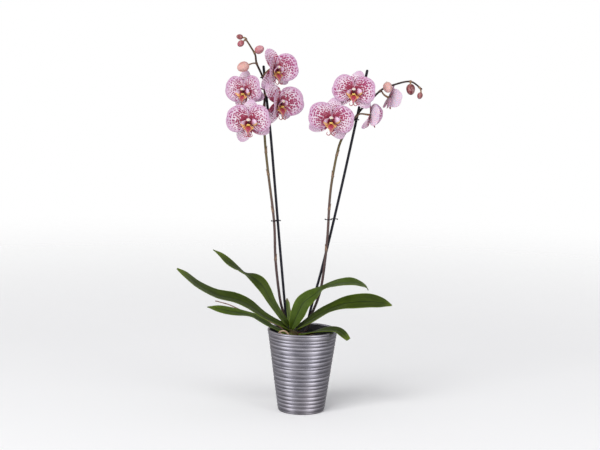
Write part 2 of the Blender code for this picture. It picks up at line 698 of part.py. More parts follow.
def seat_in_bark(bark):
    """Cuts the bark round everything that stands in it, with the clearance that touching pieces keep."""
    low, high = CROWN_HEIGHTS
    shape = bmesh.new()
    bmesh.ops.create_cone(shape, cap_ends=True, segments=12, radius1=1, radius2=1, depth=1)
    for vertex in shape.verts:
        vertex.co.x *= CROWN_RADII[0] * MM + GAP + 0.4 * MM
        vertex.co.y *= CROWN_RADII[1] * MM + GAP + 0.4 * MM
        vertex.co.z *= (high - low) * MM + 2 * GAP
    seat = as_helper(mesh_object("crown_seat", shape, None, smooth=False))
    seat.location = above_rim(*CROWN_CENTRE, (low + high) / 2)
    combine(bark, seat, "DIFFERENCE")
    for side in STAKES:
        path = stake_path(side)[:5]
        path[0] = path[0] - Vector((0, 0, 2 * GAP))
        combine(bark, grown_tube(f"stake_hole_{side}", path, STAKE_RADIUS * HOLE_CORNERS + HOLE_CLEARANCE), "DIFFERENCE")
        stem = spike_path(side)[:5]
        stem[0] = stem[0] + (stem[0] - stem[1]).normalized() * 2 * MM
        combine(bark, grown_tube(f"stem_hole_{side}", stem, SPIKE_RADIUS * 1.08 * HOLE_CORNERS + HOLE_CLEARANCE), "DIFFERENCE")
    for name, (points, radius) in ROOTS.items():
        hole = as_helper(to_mesh(make_root(f"{name}_hole", points, radius, GAP + 0.2 * MM)))
        combine(bark, hole, "DIFFERENCE")


def main():
    make_cachepot()
    make_nursery_pot()
    bark = make_bark()
    make_crown()
    seat_in_bark(bark)
    for name, midrib in LEAVES.items():
        make_leaf(name, midrib)
    make_leaf("leaf_lower_right", low_leaf_midrib())
    for name, (points, radius) in ROOTS.items():
        make_root(name, points, radius)
    for side in SPIKES:
        make_spike(side)
        make_stake(side)
    for name, (side, height) in CLIPS.items():
        make_clip(name, side, height)
    for name, (_, _, *shape) in FLOWERS.items():
        make_flower(name, *shape)
    for name, (_, _, centre, radius, way) in BUDS.items():
        make_bud(name, centre, radius, way)


clear_scene()
PLANT = new_collection("potted_orchid")
CUTTERS = new_collection("cutters")
MATERIALS = make_materials()
main()
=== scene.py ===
"""Looks of the potted moth orchid: petals, leaves, stems, bark and a ribbed silver pot.

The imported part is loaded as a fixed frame, and each piece made here stands in its node's place.
Metres, +Z up. Tables are in millimetres, and their heights are measured from the pot's rim.
"""

import math

import bpy
import numpy as np
from mathutils import Matrix, Vector, noise


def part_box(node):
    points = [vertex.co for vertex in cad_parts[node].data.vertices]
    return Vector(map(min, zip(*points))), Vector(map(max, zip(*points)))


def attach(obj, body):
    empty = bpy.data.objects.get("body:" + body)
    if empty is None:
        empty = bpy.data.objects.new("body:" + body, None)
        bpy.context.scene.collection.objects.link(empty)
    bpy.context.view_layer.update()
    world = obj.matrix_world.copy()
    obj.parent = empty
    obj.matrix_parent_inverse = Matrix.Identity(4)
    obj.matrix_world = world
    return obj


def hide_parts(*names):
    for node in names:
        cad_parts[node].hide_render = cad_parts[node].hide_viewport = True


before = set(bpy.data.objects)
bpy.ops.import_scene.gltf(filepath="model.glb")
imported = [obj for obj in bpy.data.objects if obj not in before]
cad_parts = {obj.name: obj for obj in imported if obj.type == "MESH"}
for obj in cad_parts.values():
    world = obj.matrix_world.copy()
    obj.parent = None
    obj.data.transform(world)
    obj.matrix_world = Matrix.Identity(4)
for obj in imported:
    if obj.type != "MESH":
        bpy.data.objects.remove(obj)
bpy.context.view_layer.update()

MM = 0.001
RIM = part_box("cachepot")[1][2]
GAP = 0.3 * MM

# ---------------------------------------------------------------- the plant's tables
# Each leaf's midrib, as (x, y, height above the rim, roll in degrees, full width there).
LEAVES = {
    "leaf_long_left": [
        (-28, -8, -3, 10, 12), (-38, -14, 7, 16, 20), (-56, -19, 17, 18, 26), (
            -76, -23, 29, 20, 32
        ),
        (-99, -26, 46, 20, 37), (-124, -28, 57, 18, 40), (-158, -31, 65, 17, 40), (
            -190, -34, 82, 16, 36
        ),
        (-213, -37, 101, 16, 26), (-229, -39, 113, 16, 4),
    ],
    "leaf_lower_left": [
        (-30, -5, -12, 4, 11), (-46, -4, -3, 6, 16), (-62, -1, 5, 8, 20), (-82, 4, 15, 4, 24),
        (-97, 7, 21, 6, 27), (-126, 10, 26, 18, 28), (-155, 13, 31, 18, 22), (-177, 15, 34, 12, 3),
    ],
    "leaf_upper_left": [
        (-27, -8, 7, 50, 12), (-34, -11, 17, 60, 12), (-46, -12, 34, 62, 13), (
            -58, -12, 52, 60, 16
        ),
        (-68, -10, 69, 56, 21), (-79, -7, 83, 48, 26), (-93, -4, 93, 24, 29), (
            -110, 0, 101, -6, 29
        ),
        (-124, 4, 109, 3, 27), (-139, 7, 120, 13, 24), (-153, 9, 132, 15, 17), (
            -167, 10, 142, 12, 4
        ),
    ],
    "leaf_upper_right": [
        (-21, -14, 3, 86, 10), (-15, -18, 19, 84, 22), (-8, -20, 35, 78, 28), (-1, -20, 50, 68, 29),
        (9, -20, 59, 52, 29), (21, -19, 67, 28, 31), (35, -17, 77, 2, 35), (52, -13, 83, 4, 38),
        (70, -8, 87, 8, 37), (89, -3, 88, 13, 34), (104, 1, 84, 14, 27), (115, 4, 79, 12, 19),
        (119, 6, 73, 10, 5),
    ],
    "leaf_long_right": [
        (-8, -10, 0, 24, 12), (7, -16, 13, 28, 19), (29, -21, 29, 28, 26), (50, -25, 42, 26, 30),
        (74, -28, 52, 28, 38), (95, -30, 56, 30, 40), (119, -32, 58, 30, 38), (
            140, -33, 56, 28, 31
        ),
        (152, -34, 55, 26, 19), (161, -34, 53, 24, 3),
    ],
    "leaf_young": [
        (-19, 10, 4, 84, 8), (-24, 19, 20, 88, 18), (-28, 24, 36, 88, 20), (-30, 26, 52, 86, 4),
    ],
}
# The lowest right leaf starts just above the bark and lies over the rim, so its places come from
# them. Its lengths are in millimetres.
LOW_LEAF_ANGLE = math.radians(-23)
LOW_LEAF_CLEARANCE, LOW_LEAF_OVERHANG, LOW_LEAF_LIFT, LOW_LEAF_WIDTH = 2.6, 26, 3.0, 26
LEAF_FOLD, LEAF_TIP_FOLD, LEAF_SHEATH_FOLD = 15, 6, 46

SPIKES = {
    "left": [
        (-29, 5, -2), (-35, 6, 25), (-43, 6, 56), (-52, 6, 126), (-56, 6, 198), (-68, 6, 285),
        (-75, 6, 345), (-77, 6, 400), (-77, 6, 436), (-81, 6, 459), (-92, 4, 483), (-95, 2, 499),
        (-104, 1, 514), (-112, 0, 526),
    ],
    "right": [
        (-8, 5, -20), (9, 9, 0), (17, 11, 27), (27, 11, 54), (35, 11, 91), (42, 11, 165),
        (45, 11, 239), (50, 10, 285), (60, 8, 338), (74, 6, 367), (86, 4, 386), (98, 2, 404),
        (116, 0, 423), (135, 0, 441), (154, 0, 449), (185, 0, 456), (206, 0, 443),
    ],
}
# Node rings on each stem: height above the rim, and the side that its bract is on.
STEM_NODES = {
    "left": [(127, 1), (216, -1), (283, -1), (323, 1)],
    "right": [(145, -1), (221, 1), (281, -1), (320, 1)],
}
STAKES = {
    "left": [
        (-19, 4, -118), (-31, 6, 16), (-46, 5, 164), (-64, 6, 346), (-72, 6, 410), (-80, 6, 480)
    ],
    "right": [
        (-8, 9, -118), (9, 10, 8), (29, 11, 91), (46, 11, 165), (69, 8, 276), (94, 3, 404),
        (108, 2, 476),
    ],
}
SPIKE_RADIUS, STAKE_RADIUS, CLIP_RADIUS, PEDICEL_RADIUS = 2.3 * MM, 2.4 * MM, 0.8 * MM, 1.3 * MM
# The height that the stems' colours are spread over.
STEM_HEIGHT = 530 * MM
STAKE_BEHIND = SPIKE_RADIUS + STAKE_RADIUS + 2 * (CLIP_RADIUS + GAP)
CLIPS = {
    "clip_left_lower": ("left", 198),
    "clip_left_upper": ("left", 458),
    "clip_right_lower": ("right", 202),
    "clip_right_upper": ("right", 385),
}

# Each flower: spike, where its pedicel leaves it (in stem points), centre, facing (turned right,
# raised), size, sepal angles, petal angles (clockwise from up), how far the petals lean forward
# and then curl (degrees), and the forward reach of the sepals' tips.
FLOWERS = {
    "left_flower_1": (
        "left", 7.2, (-103.5, -37, 382), (-2, -10), 1.0, (8, -160, 122), (-78, 76), (6, 12), -4
    ),
    "left_flower_2": (
        "left", 8.0, (-112, -15, 435), (-34, -6), 0.96, (2, -152, 108), (-84, 76), (4, 8), -3
    ),
    "left_flower_3": (
        "left", 7.7, (-49, -19, 415), (42, -8), 1.08, (-40, -152, 128), (-96, 80), (34, 18), -8
    ),
    "left_flower_4": (
        "left", 9.0, (-56.5, -26, 475), (38, -4), 1.0, (-26, -150, 128), (-98, 80), (36, 16), -5
    ),
    "right_flower_1": (
        "right", 9.4, (43.5, -30, 388), (0, -10), 1.02, (12, -118, 150), (-74, 92), (4, 10), -4
    ),
    "right_flower_2": (
        "right", 11.3, (83, -34, 439), (-5, -5), 0.96, (18, -124, 138), (-76, 86), (4, 10), -3
    ),
    "right_flower_3": (
        "right", 10.3, (115, -14, 395), (82, -6), 0.78, (4, -134, 134), (-84, 84), (24, 44), -10
    ),
    "right_flower_4": (
        "right", 12.8, (149, 8, 426), (98, -20), 0.68, (0, -128, 128), (-80, 80), (20, 106), 1
    ),
}
SEPAL_LENGTH, LATERAL_LENGTH, SEPAL_WIDTH, PETAL_LENGTH, PETAL_FLAT = 38, 43, 26, 42, 5
# How far each petal fans out to either side of its own middle line, in degrees.
PETAL_FAN = 84
SEPAL_THICKNESS, PETAL_THICKNESS, LIP_THICKNESS = 0.8 * MM, 0.7 * MM, 0.55 * MM
BACK_OF_FLOWER = 2.6 * MM

# Each bud: spike, where its pedicel leaves it, centre, radius, the way it points, and the colours
# of its base and tip.
PEACH, ROSE, BUD_RED = (0.66, 0.38, 0.33), (0.50, 0.16, 0.19), (0.20, 0.025, 0.035)
BUDS = {
    "left_bud_1": (
        "left", 10.0, (-115, -30, 477), 10.2, (-0.9, -0.5, -0.35), PEACH, (0.70, 0.40, 0.36)
    ),
    "left_bud_2": (
        "left", 11.2, (-87, -10, 508), 8.2, (0.75, -0.4, 0.45), ROSE, (0.60, 0.28, 0.33)
    ),
    "left_bud_3": (
        "left", 12.9, (-121, -3, 518), 6.2, (-0.6, -0.5, -0.5), (0.36, 0.10, 0.11),
        (0.34, 0.06, 0.10),
    ),
    "left_bud_4": (
        "left", 13.0, (-123, 0, 530), 5.4, (-1, -0.1, 0.2), (0.20, 0.045, 0.05), BUD_RED
    ),
    "right_bud_1": (
        "right", 13.3, (144, -14, 445), 9.2, (0.15, -0.6, -0.9), PEACH, (0.72, 0.44, 0.42)
    ),
    "right_bud_2": (
        "right", 15.0, (186, -5, 442), 9.0, (0.05, -0.3, -1), (0.14, 0.03, 0.025),
        (0.12, 0.012, 0.025),
    ),
    "right_bud_3": (
        "right", 15.8, (203, -4, 431), 5.6, (-0.3, -0.3, -1), (0.22, 0.05, 0.045),
        (0.17, 0.02, 0.04),
    ),
}
BUD_STRETCH = 1.12

ROOTS = {
    "root_front": (
        [(-44, -12, -32), (-45, -17, -12), (-40, -21, -2), (-32, -23, -1), (-25, -24, -8),
         (-20, -25, -24)],
        2.2,
    ),
    "aerial_root_left": (
        [(-33, 19, -22), (-40, 22, -3), (-60, 29, 6), (-88, 33, 16), (-114, 33, 26),
         (-138, 30, 37), (-162, 26, 44)],
        1.6,
    ),
}


# ================================================================ geometry helpers
def add_object(name, data):
    obj = bpy.data.objects.new(name, data)
    bpy.context.scene.collection.objects.link(obj)
    return obj


def above_rim(x, y, height):
    return np.array((x * MM, y * MM, RIM + height * MM))


def spline(points, per_span):
    """Catmull-Rom points through rows of any length."""
    rows = np.asarray(points, float)
    rows = np.vstack((2 * rows[0] - rows[1], rows, 2 * rows[-1] - rows[-2]))
    path = []
    for a, b, c, d in zip(rows, rows[1:], rows[2:], rows[3:]):
        for k in range(per_span):
            t = k / per_span
            path.append(
                0.5 * (2 * b + (c - a) * t + (2 * a - 5 * b + 4 * c - d) * t**2
                       + (3 * b - 3 * c + d - a) * t**3)
            )
    return np.array([*path, rows[-2]])


def along(path, share):
    """The point at a share of a path's steps."""
    place = min(max(share, 0), 1) * (len(path) - 1)
    i = min(int(place), len(path) - 2)
    return path[i] + (path[i + 1] - path[i]) * (place - i)


def unit(vectors):
    return vectors / np.maximum(np.linalg.norm(vectors, axis=-1, keepdims=True), 1e-12)


def grid_faces(rows, columns, wrap=False):
    i = np.arange(rows - 1)[:, None]
    j = np.arange(columns if wrap else columns - 1)[None, :]
    k = (j + 1) % columns
    return np.stack(
        (i * columns + j, i * columns + k, (i + 1) * columns + k, (i + 1) * columns + j), -1
    ).reshape(-1, 4)


class Piece:
    """Points, faces and point values gathered from several sheets, made into one object."""

    def __init__(self, name):
        self.name = name
        self.points, self.faces, self.slots, self.values, self.count = [], [], [], {}, 0

    def add(self, points, faces, slot=0, **values):
        points = np.asarray(points, float).reshape(-1, 3)
        for face in faces:
            self.faces.append([int(i) + self.count for i in face])
            self.slots.append(slot)
        for name, value in values.items():
            filled = np.broadcast_to(np.asarray(value, float), (len(points),))
            self.values.setdefault(name, []).append((self.count, filled))
        self.points.append(points)
        self.count += len(points)

    def make(self, materials, nodes):
        mesh = bpy.data.meshes.new(self.name)
        mesh.from_pydata(np.vstack(self.points).tolist(), [], self.faces)
        for material in materials:
            mesh.materials.append(material)
        mesh.polygons.foreach_set("material_index", self.slots)
        mesh.shade_smooth()
        for name, rows in self.values.items():
            data = np.zeros(self.count, np.float32)
            for start, filled in rows:
                data[start : start + len(filled)] = filled
            mesh.attributes.new(name, "FLOAT", "POINT").data.foreach_set("value", data)
        obj = add_object(self.name, mesh)
        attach(obj, "root")
        if nodes:
            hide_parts(*nodes)
        return obj


def tube(piece, path, radii, sides=14, slot=0, **values):
    """A round bar with domed ends. It records how far along and around each point is."""
    path = np.asarray(path, float)
    radii = np.broadcast_to(np.asarray(radii, float), (len(path),))
    tangents = unit(np.gradient(path, axis=0))
    ends = []
    for i, sign in ((0, -1), (-1, 1)):
        for reach, share in ((0.35, 0.92), (0.75, 0.62)):
            ends.append((path[i] + sign * tangents[i] * radii[i] * reach, radii[i] * share))
    path = np.vstack((ends[1][0], ends[0][0], path, ends[2][0], ends[3][0]))
    radii = np.concatenate(([ends[1][1], ends[0][1]], radii, [ends[2][1], ends[3][1]]))
    tangents = unit(np.gradient(path, axis=0))
    normal = np.cross(tangents[0], (0.0, 0.0, 1.0))
    if np.linalg.norm(normal) < 0.1:
        normal = np.cross(tangents[0], (0.0, 1.0, 0.0))
    angles = np.linspace(0, 2 * math.pi, sides, endpoint=False)
    rings = []
    for centre, tangent, radius in zip(path, tangents, radii):
        normal = unit(normal - normal.dot(tangent) * tangent)
        side = np.cross(tangent, normal)
        rings.append(
            centre + radius * (np.outer(np.cos(angles), normal) + np.outer(np.sin(angles), side))
        )
    points = np.concatenate(rings)
    count = len(path)
    poles = np.array(
        (path[0] - tangents[0] * radii[0] * 0.3, path[-1] + tangents[-1] * radii[-1] * 0.3)
    )
    faces = [*grid_faces(count, sides, wrap=True)]
    first, last = len(points), len(points) + 1
    for j in range(sides):
        k = (j + 1) % sides
        faces.append((first, k, j))
        faces.append((last, (count - 1) * sides + j, (count - 1) * sides + k))
    share = np.repeat(np.linspace(0, 1, count), sides)
    piece.add(
        np.vstack((points, poles)), faces, slot,
        along=np.append(share, (0, 1)), around=np.append(np.tile(angles, count), (0, 0)), **values,
    )


def sheet(piece, points, rows, columns, slot=0, **values):
    piece.add(points, grid_faces(rows, columns), slot, **values)


def thicken(obj, thickness, back_slot=0, offset=-1):
    modifier = obj.modifiers.new("thickness", "SOLIDIFY")
    modifier.thickness = thickness
    modifier.offset = offset
    modifier.material_offset = back_slot
    modifier.use_even_offset = False


# ================================================================ materials
class Nodes:
    """A node tree, with short calls for the nodes in it."""

    def __init__(self, tree):
        self.nodes, self.links = tree.nodes, tree.links

    def put(self, socket, value):
        if isinstance(value, bpy.types.NodeSocket):
            self.links.new(value, socket)
        elif isinstance(value, tuple) and len(value) == 3 and socket.type == "RGBA":
            socket.default_value = (*value, 1)
        else:
            socket.default_value = value

    def value(self, name):
        node = self.nodes.new("ShaderNodeAttribute")
        node.attribute_name = name
        return node.outputs["Fac"]

    def place(self):
        return self.nodes.new("ShaderNodeTexCoord").outputs["Object"]

    def math(self, operation, a, b=0.0, clamp=False):
        node = self.nodes.new("ShaderNodeMath")
        node.operation = operation
        node.use_clamp = clamp
        self.put(node.inputs[0], a)
        self.put(node.inputs[1], b)
        return node.outputs[0]

    def times(self, a, b, clamp=False):
        return self.math("MULTIPLY", a, b, clamp)

    def plus(self, a, b):
        return self.math("ADD", a, b)

    def wave(self, value, rate):
        """The sine of a value times a rate."""
        return self.math("SINE", self.times(value, rate))

    def fit(self, value, low, high, to_low=0.0, to_high=1.0):
        """Maps low..high to to_low..to_high, held at the ends."""
        node = self.nodes.new("ShaderNodeMapRange")
        node.interpolation_type = "SMOOTHSTEP"
        for socket, number in zip(("Value", "From Min", "From Max", "To Min", "To Max"),
                                  (value, low, high, to_low, to_high)):
            self.put(node.inputs[socket], number)
        return node.outputs["Result"]

    def vector(self, x, y, z=0.0):
        node = self.nodes.new("ShaderNodeCombineXYZ")
        for socket, value in zip("XYZ", (x, y, z)):
            self.put(node.inputs[socket], value)
        return node.outputs[0]

    def scaled(self, vector, scale):
        node = self.nodes.new("ShaderNodeVectorMath")
        node.operation = "MULTIPLY"
        self.put(node.inputs[0], vector)
        node.inputs[1].default_value = scale
        return node.outputs[0]

    def noise(self, vector, scale, detail=4.0, roughness=0.55):
        node = self.nodes.new("ShaderNodeTexNoise")
        self.put(node.inputs["Vector"], vector)
        node.inputs["Scale"].default_value = scale
        node.inputs["Detail"].default_value = detail
        node.inputs["Roughness"].default_value = roughness
        return node.outputs["Fac"]

    def cells(self, vector, scale, randomness):
        node = self.nodes.new("ShaderNodeTexVoronoi")
        node.voronoi_dimensions = "2D"
        self.put(node.inputs["Vector"], vector)
        node.inputs["Scale"].default_value = scale
        node.inputs["Randomness"].default_value = randomness
        return node.outputs["Distance"]

    def ramp(self, factor, *stops):
        """A colour for each (position, colour) stop. A number stands for a grey."""
        node = self.nodes.new("ShaderNodeValToRGB")
        self.put(node.inputs[0], factor)
        marks = node.color_ramp.elements
        while len(marks) < len(stops):
            marks.new(1.0)
        for mark, (position, colour) in zip(marks, stops):
            mark.position = position
            mark.color = (*colour, 1) if isinstance(colour, tuple) else (colour, colour, colour, 1)
        return node.outputs["Color"]

    def mix(self, factor, a, b):
        node = self.nodes.new("ShaderNodeMix")
        node.data_type = "RGBA"
        self.put(node.inputs[0], factor)
        self.put(node.inputs[6], a)
        self.put(node.inputs[7], b)
        return node.outputs[2]


class Shader(Nodes):
    """A Principled material, and the nodes that feed it."""

    def __init__(self, name, **constants):
        self.material = bpy.data.materials.new(name)
        self.material.use_nodes = True
        super().__init__(self.material.node_tree)
        self.main = self.nodes["Principled BSDF"]
        for socket, value in constants.items():
            self.main.inputs[socket.replace("_", " ")].default_value = value

    def into(self, name, value):
        self.put(self.main.inputs[name], value)

    def bump(self, height, strength, distance):
        node = self.nodes.new("ShaderNodeBump")
        self.put(node.inputs["Height"], height)
        node.inputs["Strength"].default_value = strength
        node.inputs["Distance"].default_value = distance
        self.into("Normal", node.outputs[0])


def petal_material(name, lines, dots, edge, ground, fading=0.0):
    """White to lilac tissue, with magenta dots in rows that run out from the base."""
    s = Shader(
        name, Roughness=0.5, Subsurface_Weight=0.12, Subsurface_Scale=0.004, Sheen_Weight=0.12
    )
    s.main.inputs["Subsurface Radius"].default_value = (1.0, 0.55, 0.7)
    across, out, seed = s.value("across"), s.value("along"), s.value("seed")
    place = s.place()
    drift = s.times(s.math("SUBTRACT", s.noise(place, 160.0, 2.0), 0.5), 0.9)
    grid = s.vector(
        s.plus(s.plus(s.times(across, lines), drift), seed),
        s.plus(s.times(out, dots), seed),
    )
    distance = s.cells(grid, 1.0, 0.62)
    size = s.ramp(
        out, (0.0, 0.99), (0.24, 0.86), (0.40, 0.60), (0.62, 0.50), (0.84, 0.40), (0.95, 0.24),
        (1.0, 0.04),
    )
    patchy = s.fit(s.noise(place, 45.0, 2.0), 0.3, 0.7, -0.09, 0.09)
    size = s.math("SUBTRACT", size, s.fit(out, 0.25, 0.7, 0.0, fading))
    spot = s.times(s.math("SUBTRACT", s.plus(size, patchy), distance), 7.0, clamp=True)
    spot_colour = s.ramp(
        out, (0.0, (0.15, 0.002, 0.016)), (0.25, (0.26, 0.004, 0.034)), (0.5, (0.30, 0.010, 0.070)),
        (0.9, (0.34, 0.050, 0.180)),
    )
    pale = s.ramp(
        out, (0.0, (0.50, 0.12, 0.22)), (0.26, ground), (0.70, ground), (0.94, edge), (1.0, edge)
    )
    soft = s.fit(s.noise(place, 90.0, 3.0), 0.35, 0.75, 0.0, 0.35)
    tissue = s.mix(soft, pale, edge)
    s.into("Base Color", s.mix(s.times(spot, 0.96), tissue, spot_colour))
    veins = s.wave(across, lines * 6.3)
    fine = s.noise(place, 900.0, 2.0)
    s.bump(s.plus(s.times(veins, 0.35), fine), 0.25, 0.0004)
    return s.material


def petal_back_material(name, colour, base):
    s = Shader(
        name, Roughness=0.55, Subsurface_Weight=0.12, Subsurface_Scale=0.004, Sheen_Weight=0.15
    )
    out, across, place = s.value("along"), s.value("across"), s.place()
    veins = s.math("ABSOLUTE", s.wave(across, 26.0))
    tone = s.mix(s.fit(s.noise(place, 60.0, 3.0), 0.3, 0.7, 0.0, 0.4), colour, (0.80, 0.66, 0.78))
    tone = s.mix(s.times(veins, 0.16), tone, (0.52, 0.20, 0.38))
    s.into("Base Color", s.mix(s.fit(out, 0.0, 0.35, 0.75, 0.0), tone, base))
    s.bump(veins, 0.2, 0.0003)
    return s.material


def lip_material():
    """The middle lobe: olive throat, crimson body with yellow shoulders and dark bars, pale tip."""
    s = Shader("lip_middle", Roughness=0.42, Subsurface_Weight=0.1, Subsurface_Scale=0.003)
    out, across, place = s.value("along"), s.value("across"), s.place()
    ground = s.ramp(
        out, (0.0, (0.20, 0.09, 0.02)), (0.16, (0.26, 0.07, 0.02)), (0.30, (0.34, 0.02, 0.04)),
        (0.60, (0.46, 0.08, 0.15)), (0.82, (0.62, 0.30, 0.34)), (1.0, (0.78, 0.58, 0.50)),
    )
    wide = s.math("ABSOLUTE", across)
    shoulder = s.times(s.fit(wide, 0.35, 0.80), s.fit(out, 0.85, 0.6), clamp=True)
    ground = s.mix(s.times(shoulder, 0.9), ground, (0.80, 0.50, 0.14))
    bars = s.cells(
        s.vector(s.times(across, 3.2), s.times(out, 9.0)), 1.0, 0.7
    )
    spots = s.times(s.math("SUBTRACT", 0.40, bars), 9.0, clamp=True)
    s.into("Base Color", s.mix(s.times(spots, 0.85), ground, (0.26, 0.01, 0.035)))
    s.bump(s.noise(place, 700.0, 2.0), 0.25, 0.0004)
    return s.material


def lobe_material():
    """The lip's side lobes: striped maroon base, violet-white rim, orange lower corner."""
    s = Shader("lip_side", Roughness=0.42, Subsurface_Weight=0.1, Subsurface_Scale=0.003)
    out, across = s.value("along"), s.value("across")
    ground = s.ramp(
        out, (0.0, (0.10, 0.005, 0.015)), (0.34, (0.20, 0.010, 0.035)), (0.50, (0.62, 0.34, 0.50)),
        (0.74, (0.82, 0.66, 0.78)), (1.0, (0.66, 0.34, 0.56)),
    )
    warm = s.times(s.fit(across, -0.15, -0.7), s.fit(out, 0.22, 0.5), clamp=True)
    ground = s.mix(s.times(warm, 0.9), ground, (0.82, 0.46, 0.10))
    bars = s.wave(across, 17.0)
    stripes = s.times(s.fit(bars, 0.2, 0.9), s.fit(out, 0.92, 0.35), clamp=True)
    s.into("Base Color", s.mix(s.times(stripes, 0.9), ground, (0.26, 0.012, 0.05)))
    s.bump(bars, 0.15, 0.0003)
    return s.material


def plain_material(name, dark, light, scale, roughness, bump=0.2, depth=0.0004, **constants):
    s = Shader(name, **constants)
    place = s.place()
    grain = s.noise(place, scale, 5.0)
    s.into("Base Color", s.mix(s.fit(grain, 0.3, 0.7), dark, light))
    s.into(
        "Roughness",
        s.fit(s.noise(place, scale * 0.6), 0.3, 0.7, roughness - 0.07, roughness + 0.07),
    )
    s.bump(grain, bump, depth)
    return s.material


def leaf_material(name, dark, light, edge, under):
    """Waxy strap leaf: fine veins, painted shade in the midrib furrow and at the base, yellow-green
    edges, a paler underside.
    """
    s = Shader(name, Coat_Weight=0.05, Coat_Roughness=0.35, Specular_IOR_Level=0.25)
    across, out, top, place = s.value("across"), s.value("along"), s.value("top"), s.place()
    wide = s.math("ABSOLUTE", across)
    streaks = s.noise(
        s.vector(s.times(across, 9.0), s.times(out, 2.2), s.value("seed")), 2.4, 5.0
    )
    mottle = s.noise(place, 38.0, 3.0)
    cloudy = s.plus(s.times(streaks, 0.6), s.times(mottle, 0.4))
    tone = s.mix(s.fit(cloudy, 0.36, 0.64), dark, light)
    # Painted shade: the leaf darkens towards its base, in the crown.
    tone = s.mix(s.fit(out, 0.02, 0.30, 0.45, 0.0), tone, dark)
    tone = s.mix(s.fit(wide, 0.88, 1.0, 0.0, 0.75), tone, edge)
    tone = s.mix(s.fit(out, 0.80, 1.0, 0.0, 0.6), tone, edge)
    # Painted shade: a near-black line down the midrib furrow.
    tone = s.mix(s.fit(wide, 0.08, 0.02, 0.0, 0.75), tone, (0.010, 0.018, 0.006))
    below = s.mix(s.fit(mottle, 0.3, 0.7), under, light)
    s.into("Base Color", s.mix(top, below, tone))
    s.into("Roughness", s.fit(s.noise(place, 110.0, 3.0), 0.3, 0.7, 0.38, 0.52))
    veins = s.wave(across, 70.0)
    s.bump(s.plus(s.times(veins, 0.25), s.noise(place, 420.0, 3.0)), 0.22, 0.0005)
    return s.material


def stem_material():
    """Grey-purple low down, darkened to near black at the foot with painted shade among the leaves,
    olive in the middle, dark purple-brown among the flowers.
    """
    s = Shader("stem_skin", Subsurface_Weight=0.04, Subsurface_Scale=0.002)
    place, height = s.place(), s.value("height")
    # The lowest stops are painted shade: the stem darkens to near black at its foot, among the
    # leaves.
    tone = s.ramp(
        height, (0.0, (0.022, 0.012, 0.014)), (0.16, (0.055, 0.031, 0.032)), (
            0.42, (0.105, 0.066, 0.058)
        ),
        (0.56, (0.125, 0.092, 0.040)), (0.66, (0.110, 0.088, 0.026)), (0.76, (0.016, 0.007, 0.006)),
        (0.88, (0.026, 0.010, 0.008)), (1.0, (0.110, 0.062, 0.022)),
    )
    streak = s.noise(s.scaled(place, (1.0, 1.0, 0.12)), 900.0, 4.0)
    tone = s.mix(s.fit(streak, 0.48, 0.85, 0.0, 0.30), tone, (0.17, 0.12, 0.09))
    blotch = s.noise(place, 130.0, 3.0)
    tone = s.mix(s.fit(blotch, 0.52, 0.74, 0.0, 0.6), tone, (0.09, 0.03, 0.035))
    tone = s.mix(s.times(s.value("node"), 0.65), tone, (0.26, 0.17, 0.12))
    s.into(
        "Base Color",
        s.mix(s.value("tender"), tone, s.mix(blotch, (0.30, 0.24, 0.09), (0.34, 0.13, 0.11))),
    )
    s.into("Roughness", s.fit(blotch, 0.3, 0.7, 0.42, 0.58))
    s.bump(streak, 0.35, 0.0004)
    return s.material


def bud_material(name, base, tip):
    s = Shader(
        name, Roughness=0.45, Subsurface_Weight=0.15, Subsurface_Scale=0.003, Coat_Weight=0.1
    )
    out, around, place = s.value("along"), s.value("around"), s.place()
    tone = s.mix(s.fit(out, 0.15, 0.9), base, tip)
    tone = s.mix(s.fit(out, 0.22, 0.0, 0.0, 0.75), tone, (0.50, 0.46, 0.16))
    veins = s.math("ABSOLUTE", s.wave(around, 10.5))
    tone = s.mix(s.fit(veins, 0.75, 1.0, 0.0, 0.3), tone, (0.36, 0.08, 0.12))
    tone = s.mix(s.fit(s.noise(place, 260.0, 3.0), 0.42, 0.7, 0.0, 0.35), tone, (0.85, 0.62, 0.58))
    s.into("Base Color", s.mix(s.times(s.value("seam"), 0.6), tone, (0.42, 0.12, 0.12)))
    s.bump(veins, 0.15, 0.0003)
    return s.material


def pot_material():
    """Silver lustre glaze: metallic, a little blue, smeared lightly round the pot, with painted
    shade in the rib valleys.
    """
    s = Shader("silver_lustre", Metallic=1.0)
    place = s.place()
    smear = s.noise(s.scaled(place, (1.0, 1.0, 5.0)), 34.0, 5.0, 0.6)
    cloud = s.noise(place, 12.0, 3.0)
    tone = s.mix(s.fit(smear, 0.32, 0.68), (0.41, 0.395, 0.465), (0.57, 0.55, 0.625))
    tone = s.mix(s.fit(cloud, 0.4, 0.65, 0.0, 0.35), tone, (0.47, 0.42, 0.46))
    # Painted shade: the glaze darkens to near black down in each rib's valley.
    tone = s.mix(s.fit(s.value("valley"), 0.35, 1.0, 0.0, 0.62), tone, (0.06, 0.06, 0.075))
    s.into("Base Color", tone)
    s.into("Roughness", s.fit(smear, 0.3, 0.7, 0.24, 0.36))
    s.bump(s.noise(s.scaled(place, (1.0, 1.0, 3.0)), 220.0, 4.0), 0.16, 0.0004)
    return s.material


def bark_material():
    s = Shader("bark_chips")
    place, tone = s.place(), s.value("tone")
    grain = s.noise(s.scaled(place, (1.0, 0.35, 1.0)), 520.0, 6.0, 0.65)
    base = s.ramp(
        tone, (0.0, (0.035, 0.018, 0.012)), (0.45, (0.13, 0.055, 0.028)),
        (0.8, (0.24, 0.10, 0.045)), (1.0, (0.33, 0.17, 0.085)),
    )
    s.into(
        "Base Color", s.mix(s.fit(grain, 0.38, 0.66), s.mix(0.55, base, (0.02, 0.012, 0.01)), base)
    )
    s.into("Roughness", s.fit(grain, 0.3, 0.7, 0.78, 0.95))
    s.bump(grain, 0.8, 0.0009)
    return s.material


